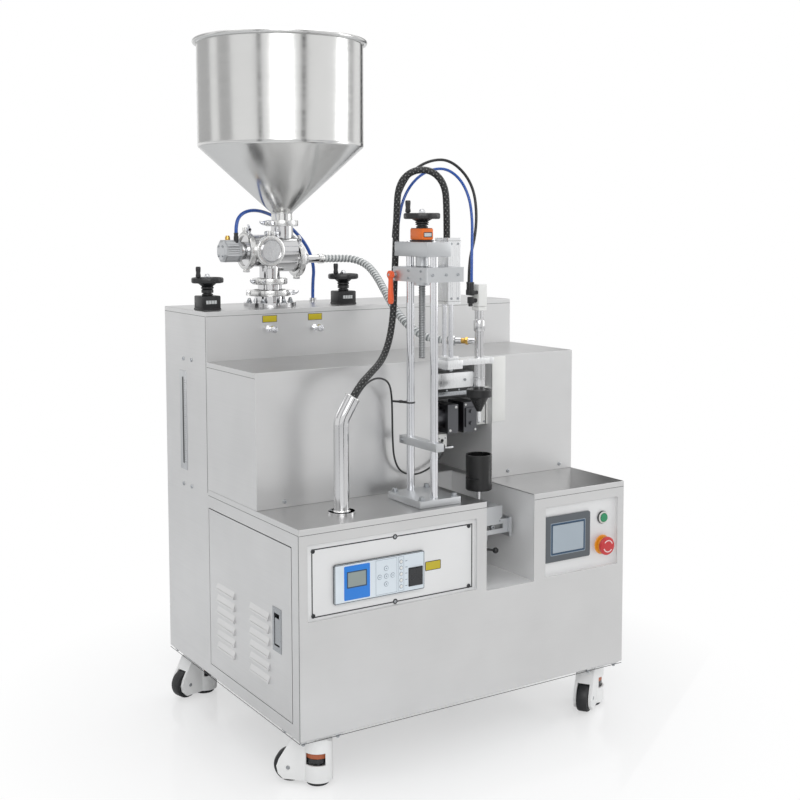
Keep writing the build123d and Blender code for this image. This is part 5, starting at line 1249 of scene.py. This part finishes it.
PIPE_X, PIPE_Y, PIPE_WAY = 133, 74, (0.56, -0.07, 0.83)
flange = Piece()
flange.turned([(15.2, 508), (27, 508), (27, 512), (26, 513), (17.5, 513), (16, 514), (15.2, 516)],
    (PIPE_X, PIPE_Y, 0), steps=56, loop=True)
thirds = [math.radians(30 + 120 * step) for step in range(3)]
flange.screws([(PIPE_X + 21.4 * math.cos(a), PIPE_Y + 21.4 * math.sin(a), 513) for a in thirds], UP, 3,
    2.2, 1)
flange.turned([(14, 0), (15.6, 0), (16, 1), (15.6, 2), (14, 2)], (156, 70.2, 732.4), PIPE_WAY, loop=True)
flange.turned([(7.6, 0), (14.2, 0), (14.2, 1), (7.6, 1)], (155.4, 70.3, 731.4), PIPE_WAY, 2, loop=True)
flange.done([satin_stainless, zinc_steel, pad_rubber], "cable_pipe", "cable_pipe_flange")

cable_tie = Piece()
outer, inner = (arc(SCREW_X, 119, 8.2 + thick, -140, 40, 9) + arc(301.6, 153.6, 2.8 + thick, 60, 180, 6)
    for thick in (1.2, 0))
rims = ((outer, 703), (outer, 706), (inner, 706), (inner, 703))
cable_tie.loft([[(u, v, z) for u, v in ring] for ring, z in rims], loop=True)
cable_tie.block(309, 315, 137, 143, 701.6, 707.4)
cable_tie.done([tie_black], "column_frame", "cable_tie")

# %% [markdown]
# The CAD solids whose shape is already right keep it, and only get their metal. Bent sheet has a
# small radius at each fold, which catches the light as a bright line, so those nodes get a bevel.

# %% Finishes of the CAD nodes
SHEETS = ("base_cabinet", "side_door", "hood", "rear_cabinet", "rear_cover")
FINISHES = {
    brushed_stainless: SHEETS,
    mill_stainless_painted_light: ("bay_linings", "castor_plates", "metering_unit", "control_plate"),
    polished_stainless: ("valve_body", "valve_fittings", "cable_pipe", "metering_piston", "valve_rotor"),
    zinc_steel: ("latch_dish", "latch_paddle"),
    anodised_aluminium: ("carriage", "cup_slide"),
    bright_aluminium: ("nozzle_cylinder",),
    tool_steel: ("horn", "anvil"),
    black_nylon: ("lock_lever",),
    switch_black: ("rocker_switch", "mains_inlet"),
    pale_film: ("generator",),
    castor_coat: tuple(f"castor_{corner}_housing" for corner in CASTORS),
}
for material, names in FINISHES.items():
    for name in names:
        node = frame["nodes"][name]
        node.data.materials.clear()
        node.data.materials.append(material)
for name in SHEETS:
    weld = frame["nodes"][name].modifiers.new("weld", "WELD")
    weld.merge_threshold = 0.00005
    fold = frame["nodes"][name].modifiers.new("fold", "BEVEL")
    fold.width, fold.segments, fold.limit_method = 0.0009, 2, "ANGLE"
    fold.harden_normals = True
print("finishes given to", sum(len(names) for names in FINISHES.values()), "nodes")
